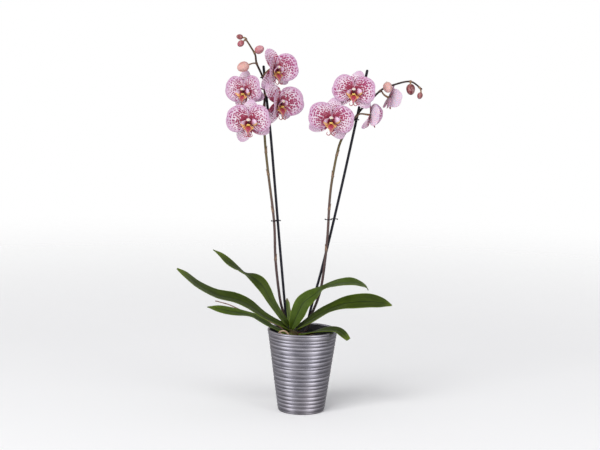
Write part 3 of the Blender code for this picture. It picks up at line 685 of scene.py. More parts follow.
def root_material(name, pale, dark):
    s = Shader(name, Sheen_Weight=0.1)
    place = s.place()
    film = s.noise(place, 340.0, 5.0, 0.6)
    blot = s.noise(place, 75.0, 3.0)
    tone = s.mix(s.fit(film, 0.36, 0.66), dark, pale)
    s.into("Base Color", s.mix(s.fit(blot, 0.55, 0.75, 0.0, 0.55), tone, (0.20, 0.20, 0.08)))
    s.into("Roughness", s.fit(film, 0.3, 0.7, 0.6, 0.8))
    s.bump(film, 0.5, 0.0005)
    return s.material


# ================================================================ pot
POT_FOOT_RADIUS, POT_WALL, POT_FLOOR, RIM_BAND, FOOT_BEVEL, RIB_DEPTH = (
    value * MM for value in (43.0, 4.0, 6.0, 4.5, 3.0, 1.35)
)
RIB_PITCHES = (7.5, 5.5, 6.5, 7, 9, 6, 7, 8.5, 5, 8, 7.5, 7, 8, 6.5, 6, 8, 7.5, 6.5, 7.5, 7)
RIM_RADIUS = 64.5 * MM


def pot_radius(z):
    return POT_FOOT_RADIUS + (RIM_RADIUS - POT_FOOT_RADIUS) * z / RIM


def turned(piece, profile, steps, slot=0, wobble=None, **values):
    """Turns (radius, height) rows about Z. wobble(angle, row) adds to radius and height."""
    profile = np.asarray(profile, float)
    angles = np.linspace(0, 2 * math.pi, steps, endpoint=False)
    radius = np.repeat(profile[:, :1], steps, axis=1)
    height = np.repeat(profile[:, 1:2], steps, axis=1)
    if wobble:
        extra_radius, extra_height = wobble(angles[None, :], np.arange(len(profile))[:, None])
        radius = radius + extra_radius
        height = height + extra_height
    points = np.stack((radius * np.cos(angles), radius * np.sin(angles), height), -1)
    values = {name: np.repeat(np.asarray(value, float), steps) for name, value in values.items()}
    piece.add(points, grid_faces(len(profile), steps, wrap=True), slot, **values)


def make_cachepot():
    piece = Piece("fine_cachepot")
    top, bottom = RIM - RIM_BAND, FOOT_BEVEL + 1.0 * MM
    # The middle list holds how deep each row sits in a rib's valley, for the painted shade in the
    # glaze.
    outer, valley, ribbed = [], [], []

    def row(radius, z, depth=0.0, rib=0.0):
        outer.append((radius, z))
        valley.append(depth)
        ribbed.append(rib)

    steps = 9
    for i in range(steps + 1):
        angle = math.pi * i / steps
        round_off = POT_WALL / 2
        row(
            RIM_RADIUS - round_off - round_off * math.cos(angle),
            RIM - round_off + round_off * math.sin(angle),
        )
    row(RIM_RADIUS - 0.1 * MM, RIM - 3.0 * MM)
    row(RIM_RADIUS - 0.5 * MM, RIM - 3.8 * MM, 0.4)
    z, scale = top, (top - bottom) / sum(RIB_PITCHES)
    for i, share in enumerate(RIB_PITCHES):
        pitch = share * scale
        depth = RIB_DEPTH * (0.55, 1.0, 0.8, 0.95, 0.7)[i % 5]
        for k in range(10):
            t = k / 10
            rise = math.sin(math.pi * t) ** 0.62
            level = z - pitch * t
            row(pot_radius(level) - depth * (1 - rise), level, (1 - rise) * depth / RIB_DEPTH, 1.0)
        z -= pitch
    row(pot_radius(bottom) - RIB_DEPTH, bottom, 0.6, 1.0)
    for i in range(6):
        angle = math.pi / 2 * (i + 1) / 6
        reach = FOOT_BEVEL
        row(
            POT_FOOT_RADIUS - reach + reach * math.cos(angle) - 0.3 * MM,
            reach - reach * math.sin(angle),
        )
    row(POT_FOOT_RADIUS * 0.5, 0)
    row(0.5 * MM, 0)
    ribbed = np.array(ribbed)[:, None]

    def wobble(angle, index):
        swell = np.sin(2 * angle + index * 0.031) + 0.6 * np.sin(3 * angle - index * 0.047 + 1.3)
        return -0.10 * MM * ribbed * (1 + 0.5 * swell), 0.30 * MM * ribbed * swell * 0.6

    turned(piece, outer, 160, 0, wobble, valley=valley)
    inner = [(RIM_RADIUS - POT_WALL, RIM - POT_WALL / 2)]
    for i in range(1, 13):
        level = (RIM - POT_WALL / 2) * (1 - i / 12) + (POT_FLOOR + 4 * MM) * i / 12
        inner.append((pot_radius(level) - POT_WALL, level))
    inner.append((pot_radius(POT_FLOOR) - POT_WALL - 3 * MM, POT_FLOOR))
    inner.append((0.5 * MM, POT_FLOOR))
    turned(piece, inner[::-1], 160, 1)
    inside = plain_material(
        "pot_inside", (0.035, 0.035, 0.04), (0.075, 0.075, 0.082), 60.0, 0.42, Metallic=0.85
    )
    return piece.make([pot_material(), inside], ["cachepot"])


def make_nursery_pot():
    """A thin clear plastic pot, with a rolled lip."""
    low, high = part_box("nursery_pot")
    lip, wall = high[0], 0.9 * MM
    foot = pot_radius(low[2]) - POT_WALL - 3.2 * MM
    side = lip - 2.0 * MM
    piece = Piece("fine_nursery_pot")
    profile = [
        (0.5 * MM, low[2] + wall), (foot - 2 * wall, low[2] + wall),
        (foot - wall, low[2] + 2 * wall),
    ]
    for i in range(1, 9):
        profile.append(
            (foot - wall + (side - foot) * i / 8, low[2] + (high[2] - low[2] - 1 * MM) * i / 8)
        )
    for i in range(7):
        angle = math.pi * i / 6
        profile.append((
            side + 0.6 * MM - 1.1 * MM * math.cos(angle),
            high[2] - 1.1 * MM + 1.1 * MM * math.sin(angle),
        ))
    profile += [
        (lip, high[2] - 4.6 * MM), (lip - 0.8 * MM, high[2] - 5 * MM),
        (side + 0.2 * MM, high[2] - 4.6 * MM),
    ]
    profile += [(foot, low[2] + wall), (foot - wall, low[2]), (0.5 * MM, low[2])]
    turned(piece, profile, 120)
    s = Shader("clear_film", Roughness=0.22, Transmission_Weight=0.55, IOR=1.45)
    s.into(
        "Base Color",
        s.mix(s.fit(s.noise(s.place(), 70.0), 0.4, 0.7), (0.62, 0.66, 0.64), (0.42, 0.43, 0.36)),
    )
    return piece.make([s.material], ["nursery_pot"])


# ================================================================ bark and roots
CROWN = (-19, -4)
BARK_LOW, BARK_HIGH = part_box("bark_mix")
BARK_EDGE = RIM - 25 * MM


def bark_level(x, y):
    """The height of the bark's mound at a place, in metres."""
    share = min(1.0, math.hypot(x, y) / BARK_HIGH[0])
    return BARK_EDGE + (BARK_HIGH[2] - BARK_EDGE) * (1 - share**2) ** 1.5


def lump(seed, steps, size):
    """A rounded, roughened cube, stretched to size, as points in metres and faces."""
    axis = np.linspace(-1, 1, steps + 1)
    points, faces = [], []
    for side in range(6):
        u, v = np.meshgrid(axis, axis, indexing="ij")
        w = np.full_like(u, 1.0 if side % 2 == 0 else -1.0)
        order = ((u, v, w), (v, w, u), (w, u, v))[side // 2]
        start = sum(len(p) for p in points)
        points.append(np.stack(order, -1).reshape(-1, 3))
        quads = grid_faces(steps + 1, steps + 1) + start
        faces.extend(quads if side % 2 == 0 else quads[:, ::-1])
    points = np.vstack(points)
    points = points / np.linalg.norm(points, axis=1, keepdims=True) ** 0.72
    rough = np.array(
        [noise.noise(Vector(p * 1.7) + Vector((seed * 3.1, seed * 1.7, 0))) for p in points]
    )
    return points * (1 + 0.35 * rough[:, None]) * np.asarray(size) * MM, faces


# The chips lie within this reach of the middle, are small within CROWN_CLEAR of the crown or past
# CHIP_EDGE, and are heaped up most at CROWN_CLEAR. Reaches are in millimetres.
CHIP_COUNT, CHIP_REACH, CHIP_EDGE, CROWN_CLEAR, HEAP_SPREAD = 330, 50, 53, 12, 16
BARK_HEAP = 4.5 * MM


def make_bark():
    random = np.random.default_rng(7)
    piece = Piece("fine_bark")
    rings, steps = 34, 110
    reach = BARK_HIGH[0] - 0.6 * MM
    radii = np.linspace(0.004, 1, rings) * reach
    angles = np.linspace(0, 2 * math.pi, steps, endpoint=False)
    points = []
    for radius in radii:
        for angle in angles:
            x, y = radius * math.cos(angle), radius * math.sin(angle)
            bumps = (
                noise.noise(Vector((x, y, 0.3)) * 130) * 1.6
                + noise.noise(Vector((x, y, 0.9)) * 420) * 0.6
            )
            points.append((x, y, bark_level(x, y) - 2.2 * MM + bumps * MM))
    piece.add(points, grid_faces(rings, steps, wrap=True)[:, ::-1], tone=0.15)
    foot = BARK_HIGH[0] * 0.66
    wall = [(reach, RIM - 27 * MM), (foot, BARK_LOW[2]), (0.5 * MM, BARK_LOW[2])]
    turned(piece, wall, steps, tone=[0.15, 0.15, 0.1])
    for i in range(CHIP_COUNT):
        radius, angle = CHIP_REACH * math.sqrt(random.random()), 2 * math.pi * random.random()
        x, y = radius * math.cos(angle), radius * math.sin(angle)
        size = np.array(
            (random.uniform(3.5, 9.5), random.uniform(2.5, 5.5), random.uniform(1.2, 3.0))
        )
        from_crown = math.hypot(x - CROWN[0], y - CROWN[1])
        if from_crown < CROWN_CLEAR or radius + size[0] * 0.7 > CHIP_EDGE:
            size *= 0.6
        chip, faces = lump(i, 4, size)
        turn = Matrix.Rotation(random.uniform(0, 6.28), 3, "Z") @ Matrix.Rotation(
            random.normal(0, 0.35), 3, "X"
        )
        turn = turn @ Matrix.Rotation(random.normal(0, 0.3), 3, "Y")
        chip = chip @ np.array(turn).T
        heap = BARK_HEAP * math.exp(-(((from_crown - CROWN_CLEAR) / HEAP_SPREAD) ** 2))
        chip += (x * MM, y * MM, bark_level(x * MM, y * MM) + heap + random.uniform(-1.3, 0.7) * MM)
        piece.add(chip, faces, tone=random.uniform(0.2, 1.0))
    return piece.make([bark_material()], ["bark_mix"])


def root_shape(piece, points, radius, seed, sides=14):
    path = spline([above_rim(*p) for p in points], 12)
    share = np.linspace(0, 1, len(path))
    lumps = np.array([noise.noise(Vector((s * 14, seed, 0.5))) for s in share])
    tube(piece, path, radius * MM * (1 - 0.35 * share) * (1 + 0.22 * lumps), sides)


def make_roots():
    pale = root_material("root_film", (0.60, 0.46, 0.33), (0.36, 0.23, 0.14))
    dry = root_material("dry_root", (0.42, 0.27, 0.22), (0.22, 0.12, 0.09))
    for seed, (name, (points, radius)) in enumerate(ROOTS.items()):
        piece = Piece(f"fine_{name}")
        root_shape(piece, points, radius, seed)
        piece.make([pale if name == "root_front" else dry], [name])
    piece = Piece("bark_roots")
    strands = [
        ([(-50, -6, -22), (-48, -14, -9), (-40, -26, -5), (-27, -31, -8), (-14, -33, -15)], 1.7),
        ([(-37, -20, -18), (-30, -29, -8), (-18, -33, -9), (-4, -31, -14), (4, -30, -22)], 1.5),
        ([(-18, -14, -12), (-8, -24, -11), (6, -27, -14), (20, -24, -19)], 1.6),
        ([(-34, 10, -16), (-38, 22, -13), (-30, 34, -15), (-12, 39, -20)], 1.8),
        ([(-6, 4, -14), (10, -2, -11), (26, 4, -15), (37, 14, -21)], 1.7),
    ]
    for seed, (points, radius) in enumerate(strands):
        root_shape(piece, points, radius, seed + 5, 10)
    piece.make([pale], [])


# ================================================================ leaves and crown
def low_leaf_midrib():
    """The low leaf rises from the crown, clears the rim and hangs down outside it."""
    out = np.array((math.cos(LOW_LEAF_ANGLE), math.sin(LOW_LEAF_ANGLE)))
    rim = out * RIM_RADIUS / MM
    tip = out * (RIM_RADIUS / MM + LOW_LEAF_OVERHANG)
    crown_low, crown_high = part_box("crown_stem")
    start = np.array((crown_high[0] / MM + 4, (crown_low[1] + crown_high[1]) / 2 / MM - 2))
    foot = (bark_level(*(start * MM)) - RIM) / MM + LOW_LEAF_LIFT
    climb = LOW_LEAF_CLEARANCE - foot
    rows = (
        (start, foot, 0, 0.4),
        (start + 0.3 * (rim - start), foot + 0.4 * climb, 4, 0.55),
        (start + 0.65 * (rim - start), foot + 0.87 * climb, 8, 0.85),
        (rim, LOW_LEAF_CLEARANCE, 10, 1.0),
        ((rim + tip) / 2, LOW_LEAF_CLEARANCE - 4, 12, 1.0),
        (tip, LOW_LEAF_CLEARANCE - 15, 12, 0.5),
    )
    return [(*place, height, roll, LOW_LEAF_WIDTH * share) for place, height, roll, share in rows]


def make_leaf(name, midrib, material, seed):
    """A strap leaf along its midrib: furrowed above, keeled below, thin at its wavy edges."""
    path = spline(midrib, 14)
    heading = unit(np.array((path[-1][0] - path[0][0], path[-1][1] - path[0][1], 0)))
    flat_side = np.array((-heading[1], heading[0], 0))
    if flat_side[1] < 0:
        flat_side = -flat_side
    stations = np.linspace(0, 1, 96) ** 0.94
    t = np.sin(np.linspace(-math.pi / 2, math.pi / 2, 21))
    rows = []
    for share in stations:
        here = along(path, share)
        tangent = unit((along(path, share + 0.015) - along(path, share - 0.015))[:3])
        side = unit(flat_side - flat_side.dot(tangent) * tangent)
        normal = np.cross(side, tangent)
        if normal[2] < 0:
            normal = -normal
        roll = math.radians(here[3])
        side, normal = (
            side * math.cos(roll) + normal * math.sin(roll),
            normal * math.cos(roll) - side * math.sin(roll),
        )
        half = here[4] / 2
        fold = LEAF_FOLD + (LEAF_TIP_FOLD - LEAF_FOLD) * share
        fold = math.radians(fold + (LEAF_SHEATH_FOLD - LEAF_FOLD) * max(0, 1 - share / 0.16) ** 1.5)
        bend = np.sqrt(t**2 + 0.006)
        wave = (
            0.9 * np.sin(2 * math.pi * (2.1 * share + 0.17 * seed) + np.sign(t) * 0.9)
            * np.abs(t) ** 3
        )
        lift = bend * half * math.sin(fold) + wave * min(1, share * 4)
        lateral = t * half * math.cos(fold)
        thick = (0.45 + 0.75 * (1 - t**2)) * (1 + 1.3 * max(0, 1 - share / 0.3) ** 2) * min(
            1.0, 0.35 + 4 * (1 - share)
        )
        furrow = 0.55 * np.exp(-((t / 0.05) ** 2)) * (1 - share * 0.6)
        keel = 0.9 * np.exp(-((t / 0.12) ** 2)) * (1 - share)
        above = here[:3] + np.outer(lateral, side) + np.outer(lift + thick - furrow, normal)
        below = here[:3] + np.outer(lateral, side) + np.outer(lift - thick - keel, normal)
        rows.append(np.vstack((above, below[::-1][1:-1])))
    points = np.array(rows)
    count = points.shape[1]
    flat = points.reshape(-1, 3) * MM
    flat[:, 2] += RIM
    faces = [*grid_faces(len(stations), count, wrap=True)]
    faces.append(list(range(count))[::-1])
    faces.append([(len(stations) - 1) * count + i for i in range(count)])
    ring_across = np.concatenate((t, t[::-1][1:-1]))
    ring_top = np.concatenate((np.ones(len(t)), np.zeros(len(t) - 2)))
    # Faces turn outwards on either hand of the plant.
    outward = np.cross(points[40][5] - points[40][10], points[44][10] - points[40][10])
    if outward.dot(points[40][10] - points[40][count - 10]) < 0:
        faces = [list(face)[::-1] for face in faces]
    piece = Piece(f"fine_{name}")
    piece.add(
        flat, faces, across=np.tile(ring_across, len(stations)), top=np.tile(
            ring_top, len(stations)
        ),
        along=np.repeat(stations, count), seed=seed * 1.7,
    )
    return piece.make([material], [name])


def make_leaves():
    edge, under = (0.16, 0.22, 0.020), (0.085, 0.135, 0.014)
    green = leaf_material("leaf_skin", (0.022, 0.036, 0.003), (0.050, 0.078, 0.006), edge, under)
    # Two lighter copies of the same leaf skin: one for the upper right leaf, the lightest for the
    # lower left leaf.
    bright = leaf_material(
        "bright_leaf_skin", (0.032, 0.056, 0.004), (0.066, 0.112, 0.008), edge, under
    )
    lightest = leaf_material(
        "lightest_leaf_skin", (0.085, 0.150, 0.010), (0.140, 0.230, 0.014), edge, under
    )
    young = leaf_material(
        "young_leaf_skin", (0.12, 0.20, 0.035), (0.22, 0.30, 0.07), (0.42, 0.30, 0.20),
        (0.24, 0.30, 0.09),
    )
    skins = {"leaf_lower_left": lightest, "leaf_upper_right": bright, "leaf_young": young}
    midribs = {**LEAVES, "leaf_lower_right": low_leaf_midrib()}
    for seed, (name, midrib) in enumerate(midribs.items()):
        make_leaf(name, midrib, skins.get(name, green), seed)


def make_crown():
    """A short stem wrapped in the dry sheaths of old leaves."""
    low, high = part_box("crown_stem")
    centre = (np.array(low) + np.array(high)) / 2
    radii = (np.array(high) - np.array(low)) / 2
    piece = Piece("fine_crown")
    rows, columns = 26, 40
    points = []
    for i in range(rows):
        lift = -1 + 2 * i / (rows - 1)
        girth = math.sqrt(max(0.0, 1 - abs(lift) ** 3.2))
        for j in range(columns):
            angle = 2 * math.pi * j / columns
            wrap = 1 + 0.07 * math.sin(2 * angle + 5 * lift) + 0.03 * math.sin(7 * angle + 9 * lift)
            points.append((
                centre[0] + radii[0] * 0.97 * girth * wrap * math.cos(angle),
                centre[1] + radii[1] * 0.97 * girth * wrap * math.sin(angle),
                centre[2] + radii[2] * lift,
            ))
    piece.add(points, grid_faces(rows, columns, wrap=True))
    material = plain_material(
        "crown_sheath", (0.07, 0.045, 0.02), (0.13, 0.18, 0.035), 70.0, 0.5, 0.5, 0.001
    )
    return piece.make([material], ["crown_stem"])


# ================================================================ stems, stakes, clips
PEDICEL_STEPS, PEDICEL_SIDES = 26, 12


def stem_path(side, per_span=2):
    return spline([above_rim(*p) for p in SPIKES[side]], per_span)


def on_stem(side, place):
    return along(stem_path(side), place / (len(SPIKES[side]) - 1))


def flower_frame(centre, facing):
    turn, lift = (math.radians(a) for a in facing)
    forward = np.array(
        (math.sin(turn) * math.cos(lift), -math.cos(turn) * math.cos(lift), math.sin(lift))
    )
    right = np.array((math.cos(turn), math.sin(turn), 0))
    return above_rim(*centre), right, np.cross(forward, right), forward


def bezier(a, b, c, d, count):
    t = np.linspace(0, 1, count)[:, None]
    return a * (1 - t) ** 3 + b * 3 * t * (1 - t) ** 2 + c * 3 * t**2 * (1 - t) + d * t**3


def bract(piece, foot, up, out, length, radius, spread=1.9, slot=0):
    """A small dry scale that clasps the stem and comes away from it at its tip."""
    rows, columns = 12, 11
    side = np.cross(up, out)
    points, share = [], []
    for i in range(rows):
        s = i / (rows - 1)
        opening = spread * (1 - s**1.6)
        for j in range(columns):
            angle = opening * (2 * j / (columns - 1) - 1)
            reach = radius * (1 + 0.35 * s**2.2)
            points.append(
                foot + up * length * s + reach * (math.cos(angle) * out + math.sin(angle) * side)
            )
            share.append(s)
    sheet(piece, points, rows, columns, slot, along=share, height=0.5)


def make_spike(side, materials):
    piece = Piece(f"fine_spike_{side}")
    path = stem_path(side, 10)
    count = len(path)
    share = np.linspace(0, 1, count)
    radii = SPIKE_RADIUS * (1.08 - 0.45 * share**2)
    heights = (path[:, 2] - RIM) / STEM_HEIGHT
    joints = [spec[1] for spec in (*FLOWERS.values(), *BUDS.values()) if spec[0] == side]
    # Four times the points, so that a ring can swell the stem smoothly.
    fine = np.interp(np.linspace(0, 1, count * 4), share, np.arange(count))

    def pick(values):
        return np.interp(fine, np.arange(count), values)

    dense = np.stack([pick(path[:, axis]) for axis in range(3)], -1)
    ring = np.zeros(len(dense))
    for height, _ in STEM_NODES[side]:
        near = np.abs(dense[:, 2] - RIM - height * MM)
        ring = np.maximum(ring, np.exp(-((near / (1.5 * MM)) ** 2)))
    for joint in joints:
        near = np.linalg.norm(dense - on_stem(side, joint), axis=1)
        ring = np.maximum(ring, 0.8 * np.exp(-((near / (2.4 * MM)) ** 2)))
    sides = 16

    def spread(values):
        """One value for each point of the tube, its two dome rows and its pole at each end."""
        padded = np.concatenate(([values[0]] * 2, values, [values[-1]] * 2))
        values = np.repeat(padded, sides)
        return np.append(values, (values[0], values[-1]))

    tube(
        piece, dense, pick(radii) * (1 + 0.30 * ring), sides,
        height=spread(pick(heights)), node=spread(ring), tender=0.0,
    )
    for height, hand in STEM_NODES[side]:
        i = int(np.argmin(np.abs(dense[:, 2] - RIM - height * MM)))
        up = unit(dense[min(i + 6, len(dense) - 1)] - dense[i - 6])
        out = unit(np.array((hand * 1.0, -0.25, 0)) - up * np.dot((hand * 1.0, -0.25, 0), up))
        bract(piece, dense[i] - up * 1.0 * MM, up, out, 13 * MM, SPIKE_RADIUS * 1.2, slot=1)
    for name, spec in (*FLOWERS.items(), *BUDS.items()):
        if spec[0] != side:
            continue
        start = on_stem(side, spec[1])
        i = int(np.argmin(np.linalg.norm(dense - start, axis=1)))
        up = unit(dense[min(i + 8, len(dense) - 1)] - dense[max(i - 8, 0)])
        if name in FLOWERS:
            centre, _, _, forward = flower_frame(spec[2], spec[3])
            end = centre - forward * BACK_OF_FLOWER * spec[4]
            way, arrive = (end - start) * 0.35 + np.array((0, 0, 6 * MM)), forward * 16 * MM
            sizes = (1.0, 1.5)
        else:
            centre, radius = above_rim(*spec[2]), spec[3]
            point = unit(np.array(spec[4], float))
            end = centre - point * (radius * BUD_STRETCH - 0.6) * MM
            way, arrive = (end - start) * 0.4 + np.array((0, 0, 3 * MM)), point * 4 * MM
            sizes = (1.0, 1.15)
        curve = bezier(start, start + way, end - arrive, end, PEDICEL_STEPS)
        s = np.linspace(0, 1, PEDICEL_STEPS)
        girth = PEDICEL_RADIUS * (sizes[0] + (sizes[1] - sizes[0]) * s**2) * (
            1 + 0.25 * np.exp(-((s / 0.08) ** 2))
        )
        level = np.concatenate(([curve[0][2]] * 2, curve[:, 2], [curve[-1][2]] * 2))
        tender = np.concatenate(([0.5] * 2, 0.5 + 0.5 * s, [1.0] * 2))
        height = np.append(np.repeat((level - RIM) / STEM_HEIGHT, PEDICEL_SIDES), (0.8, 0.8))
        tender = np.append(np.repeat(tender, PEDICEL_SIDES), (0.5, 1.0))
        tube(piece, curve, girth, PEDICEL_SIDES, height=height, node=0.0, tender=tender)
        out = (curve[6] - start) - up * np.dot(curve[6] - start, up)
        bract(
            piece, start - up * 1.6 * MM, up, unit(out), 5.0 * MM, SPIKE_RADIUS * 1.05, 1.5, slot=1
        )
    return piece.make(materials, [f"spike_{side}"])


def stake_path(side):
    path = spline([above_rim(*p) + (0, STAKE_BEHIND, 0) for p in STAKES[side]], 2)
    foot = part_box(f"stake_{side}")[0][2] + 1.5 * MM
    path[0] = path[1] + (path[0] - path[1]) * (foot - path[1][2]) / (path[0][2] - path[1][2])
    return path


def make_stake(side, material):
    piece = Piece(f"fine_stake_{side}")
    path = spline(stake_path(side), 6)
    # The domed ends stay inside the stake's own length.
    for i, j in ((0, 1), (-1, -2)):
        path[i] = path[i] + unit(path[j] - path[i]) * STAKE_RADIUS
    tube(piece, path, STAKE_RADIUS, 20)
    return piece.make([material], [f"stake_{side}"])


def crossing(path, z):
    for a, b in zip(path, path[1:]):
        if a[2] <= z <= b[2]:
            return a + (b - a) * (z - a[2]) / (b[2] - a[2])
    raise ValueError("the path doesn't reach that height")


def make_clip(name, side, height, material):
    """A sprung plastic clip: one hook round the stem, one round the stake, a bead on each end."""
    z = RIM + height * MM
    stem, stake = crossing(stem_path(side), z), crossing(stake_path(side), z)
    apart = stake - stem
    spare = (np.linalg.norm(apart) - SPIKE_RADIUS - STAKE_RADIUS) / 2
    towards = math.atan2(apart[1], apart[0])
    steps, sweep = 30, math.radians(215)
    path = []
    for i in range(steps + 1):
        angle = towards - sweep * (1 - i / steps)
        path.append(stem + np.array((math.cos(angle), math.sin(angle), 0)) * (SPIKE_RADIUS + spare))
    for i in range(1, steps + 1):
        angle = towards + math.pi - sweep * i / steps
        path.append(
            stake + np.array((math.cos(angle), math.sin(angle), 0)) * (STAKE_RADIUS + spare)
        )
    path = np.array(path)
    share = np.linspace(0, 1, len(path))
    bead = np.exp(-((np.minimum(share, 1 - share) / 0.035) ** 2))
    piece = Piece(f"fine_{name}")
    tube(piece, path, CLIP_RADIUS * (1 + 0.7 * bead), 12)
    return piece.make([material], [name])


# ================================================================ flowers
def rotated(points, degrees):
    """Turns points that lie along +Y clockwise about Z, so that +Y comes to the angle."""
    angle = math.radians(degrees)
    x = points[:, 0] * math.cos(angle) + points[:, 1] * math.sin(angle)
    y = points[:, 1] * math.cos(angle) - points[:, 0] * math.sin(angle)
    return np.stack((x, y, points[:, 2]), -1)


def petal_points(length, random):
    """A broad petal that fans out from its narrow claw, as points, shares across and along."""
    rows, columns, fan = 26, 45, math.radians(PETAL_FAN)
    theta, rho = np.meshgrid(np.linspace(-fan, fan, columns), np.linspace(0.03, 1, rows))
    phase = random.uniform(0, 6.28, 4)
    edge = length * np.cos(theta * 1.06) ** 0.5
    edge = edge * (1 + 0.018 * np.sin(3 * theta + phase[0]) + 0.012 * np.sin(7 * theta + phase[1]))
    edge = edge * (1 - 0.03 * np.exp(-((theta / 0.12) ** 2)))
    radius = rho * edge
    x, y = radius * np.sin(theta), radius * np.cos(theta)
    z = 1.0 + rho**3 * (
        0.9 * np.sin(4.3 * theta + phase[2]) + 0.45 * np.sin(9.1 * theta + phase[3])
    )
    z = z + 0.8 * np.exp(-((x / 6) ** 2)) * np.sin(math.pi * np.clip(y / length, 0, 1))
    z = z - 16 * np.clip(rho - 0.74, 0, 1) ** 2
    return np.stack((x, y, z), -1).reshape(-1, 3), theta / fan, rho, rows, columns


def folded(points, lean, curl):
    """Petals lie flat near a flower's upright middle line, and lean and curl forward beyond it."""
    tilt, bend = math.radians(lean), math.radians(curl) / PETAL_LENGTH
    beyond = np.abs(points[:, 0]) - PETAL_FLAT
    end = tilt + bend * np.maximum(0, beyond)
    out = PETAL_FLAT + np.minimum(0, beyond) + (np.sin(end) - math.sin(tilt)) / bend
    end = np.where(beyond > 0, end, 0)
    forward = np.where(beyond > 0, (math.cos(tilt) - np.cos(end)) / bend, 0)
    x = np.sign(points[:, 0]) * (out - points[:, 2] * np.sin(end))
    return np.stack((x, points[:, 1], forward + points[:, 2] * np.cos(end)), -1)


def sepal_points(length, width, tip, random):
    """A sepal: an oval blade, channelled along its middle, its tip turned back a little."""
    rows, columns = 24, 17
    t, s = np.meshgrid(np.linspace(-1, 1, columns), np.linspace(0.0, 1, rows))
    phase = random.uniform(0, 6.28, 2)
    half = width / 2 * np.maximum(np.sin(math.pi * s**1.12), 0) ** 0.56 + 1.6 * (1 - s) ** 4 + 0.35
    half = half * (1 + 0.02 * np.sin(9 * s + phase[0]))
    x, y = t * half, length * s
    z = -1.4 + tip * s**2 + 2.0 * (t * half / (width / 2)) ** 2 * np.sin(math.pi * s)
    z = z + 0.5 * np.sin(7 * s + phase[1]) * t * s
    return np.stack((x, y, z), -1).reshape(-1, 3), t, s, rows, columns


def settle(points, place, size):
    origin, right, up, forward = place
    points = points * MM * size
    return origin + points[:, :1] * right + points[:, 1:2] * up + points[:, 2:] * forward


def make_flower(index, name, materials):
    _, _, centre, facing, size, sepals, petals, fold, sepal_reach = FLOWERS[name]
    place = flower_frame(centre, facing)
    random = np.random.default_rng(40 + index)
    front, back, sepal_front, sepal_back, lobe, middle, callus, column = materials

    piece = Piece(f"fine_{name}_sepals")
    for angle, length in zip(sepals, (SEPAL_LENGTH, LATERAL_LENGTH, LATERAL_LENGTH)):
        points, t, s, rows, columns = sepal_points(
            length, SEPAL_WIDTH, sepal_reach * random.uniform(0.8, 1.3), random
        )
        points = settle(rotated(points, angle), place, size)
        sheet(
            piece, points, rows, columns, across=t.ravel(), along=s.ravel(),
            seed=random.uniform(0, 40),
        )
    obj = piece.make([sepal_front, sepal_back], [f"{name}_sepals"])
    thicken(obj, SEPAL_THICKNESS, 1)

    piece = Piece(f"fine_{name}_petals")
    for angle in petals:
        points, t, s, rows, columns = petal_points(PETAL_LENGTH, random)
        points = settle(folded(rotated(points, angle), *fold), place, size)
        sheet(
            piece, points, rows, columns, across=t.ravel(), along=s.ravel(),
            seed=random.uniform(0, 40),
        )
    obj = piece.make([front, back], [f"{name}_petals"])
    thicken(obj, PETAL_THICKNESS, 1)

    piece = Piece(f"fine_{name}_lip")
    for hand in (-1, 1):
        add_side_lobe(piece, hand, place, size)
    add_middle_lobe(piece, place, size)
    add_tendrils(piece, place, size)
    add_callus(piece, place, size)
    obj = piece.make([lobe, middle, callus], [f"{name}_lip"])
    thicken(obj, LIP_THICKNESS, 0, 0)

    piece = Piece(f"fine_{name}_column")
    add_column(piece, place, size)
    piece.make([column], [f"{name}_column"])


SIDE_LOBE_LENGTH, SIDE_LOBE_HALF = 14.5, 7.4


def add_side_lobe(piece, hand, place, size):
    rows, columns = 14, 13
    b, a = np.meshgrid(np.linspace(-1, 1, columns), np.linspace(0, 1, rows))
    half = SIDE_LOBE_HALF * np.sin(math.pi * (0.10 + 0.82 * a) ** 0.8) ** 0.7 * (
        0.45 + 0.55 * np.minimum(1, a * 2.2)
    )
    out = np.array((hand * 0.86, 0.24, 0.45))
    rise = np.array((-hand * 0.24, 0.92, 0.10))
    face = np.cross(out, rise) * hand
    start = np.array((hand * 1.6, -4.6, 3.4))
    curl = 4.0 * (b * half / SIDE_LOBE_HALF) ** 2 + 3.2 * a**2
    points = (
        start + (a * SIDE_LOBE_LENGTH)[..., None] * out + (b * half)[..., None] * rise
        - curl[..., None] * face * hand
    )
    points[..., 2] += 1.2 * a * (1 - a)
    sheet(
        piece, settle(points.reshape(-1, 3), place, size), rows, columns, 0, across=b.ravel(),
        along=a.ravel(),
    )


def add_middle_lobe(piece, place, size):
    rows, columns = 22, 15
    t, s = np.meshgrid(np.linspace(-1, 1, columns), np.linspace(0, 1, rows))
    shoulders = 3.2 + 7.6 * np.exp(-(((s - 0.42) / 0.17) ** 2))
    half = shoulders * (1 - s**3) + 0.9 * s**3
    x = t * half
    y = -5.2 - 19.0 * s + 2.0 * np.abs(t) * np.exp(-(((s - 0.42) / 0.2) ** 2))
    z = 3.8 + 8.5 * np.sin(math.pi * 0.66 * s) - 3.0 * t**2 * half / 10.8 + 0.9 * np.exp(
        -((t / 0.25) ** 2)
    )
    points = np.stack((x, y, z), -1).reshape(-1, 3)
    sheet(piece, settle(points, place, size), rows, columns, 1, across=t.ravel(), along=s.ravel())


def add_tendrils(piece, place, size):
    for hand in (-1, 1):
        knots = [
            (0.5, -23.8, 11.0), (1.6, -25.6, 12.6), (4.2, -26.8, 13.0), (6.8, -25.6, 12.0),
            (7.4, -23.2, 10.8), (5.8, -21.8, 10.4),
        ]
        path = spline([(hand * x, y, z) for x, y, z in knots], 6)
        path = settle(path, place, size)
        tube(piece, path, np.linspace(0.55, 0.22, len(path)) * MM * size, 8, 1)


def add_callus(piece, place, size):
    for hand in (-1, 1):
        points, faces = lump(3 + hand, 5, (1.5, 1.3, 2.0))
        points = points / MM + (hand * 1.3, -6.0, 7.6)
        piece.add(settle(points, place, size), faces, 2, along=0.5, across=0.0)


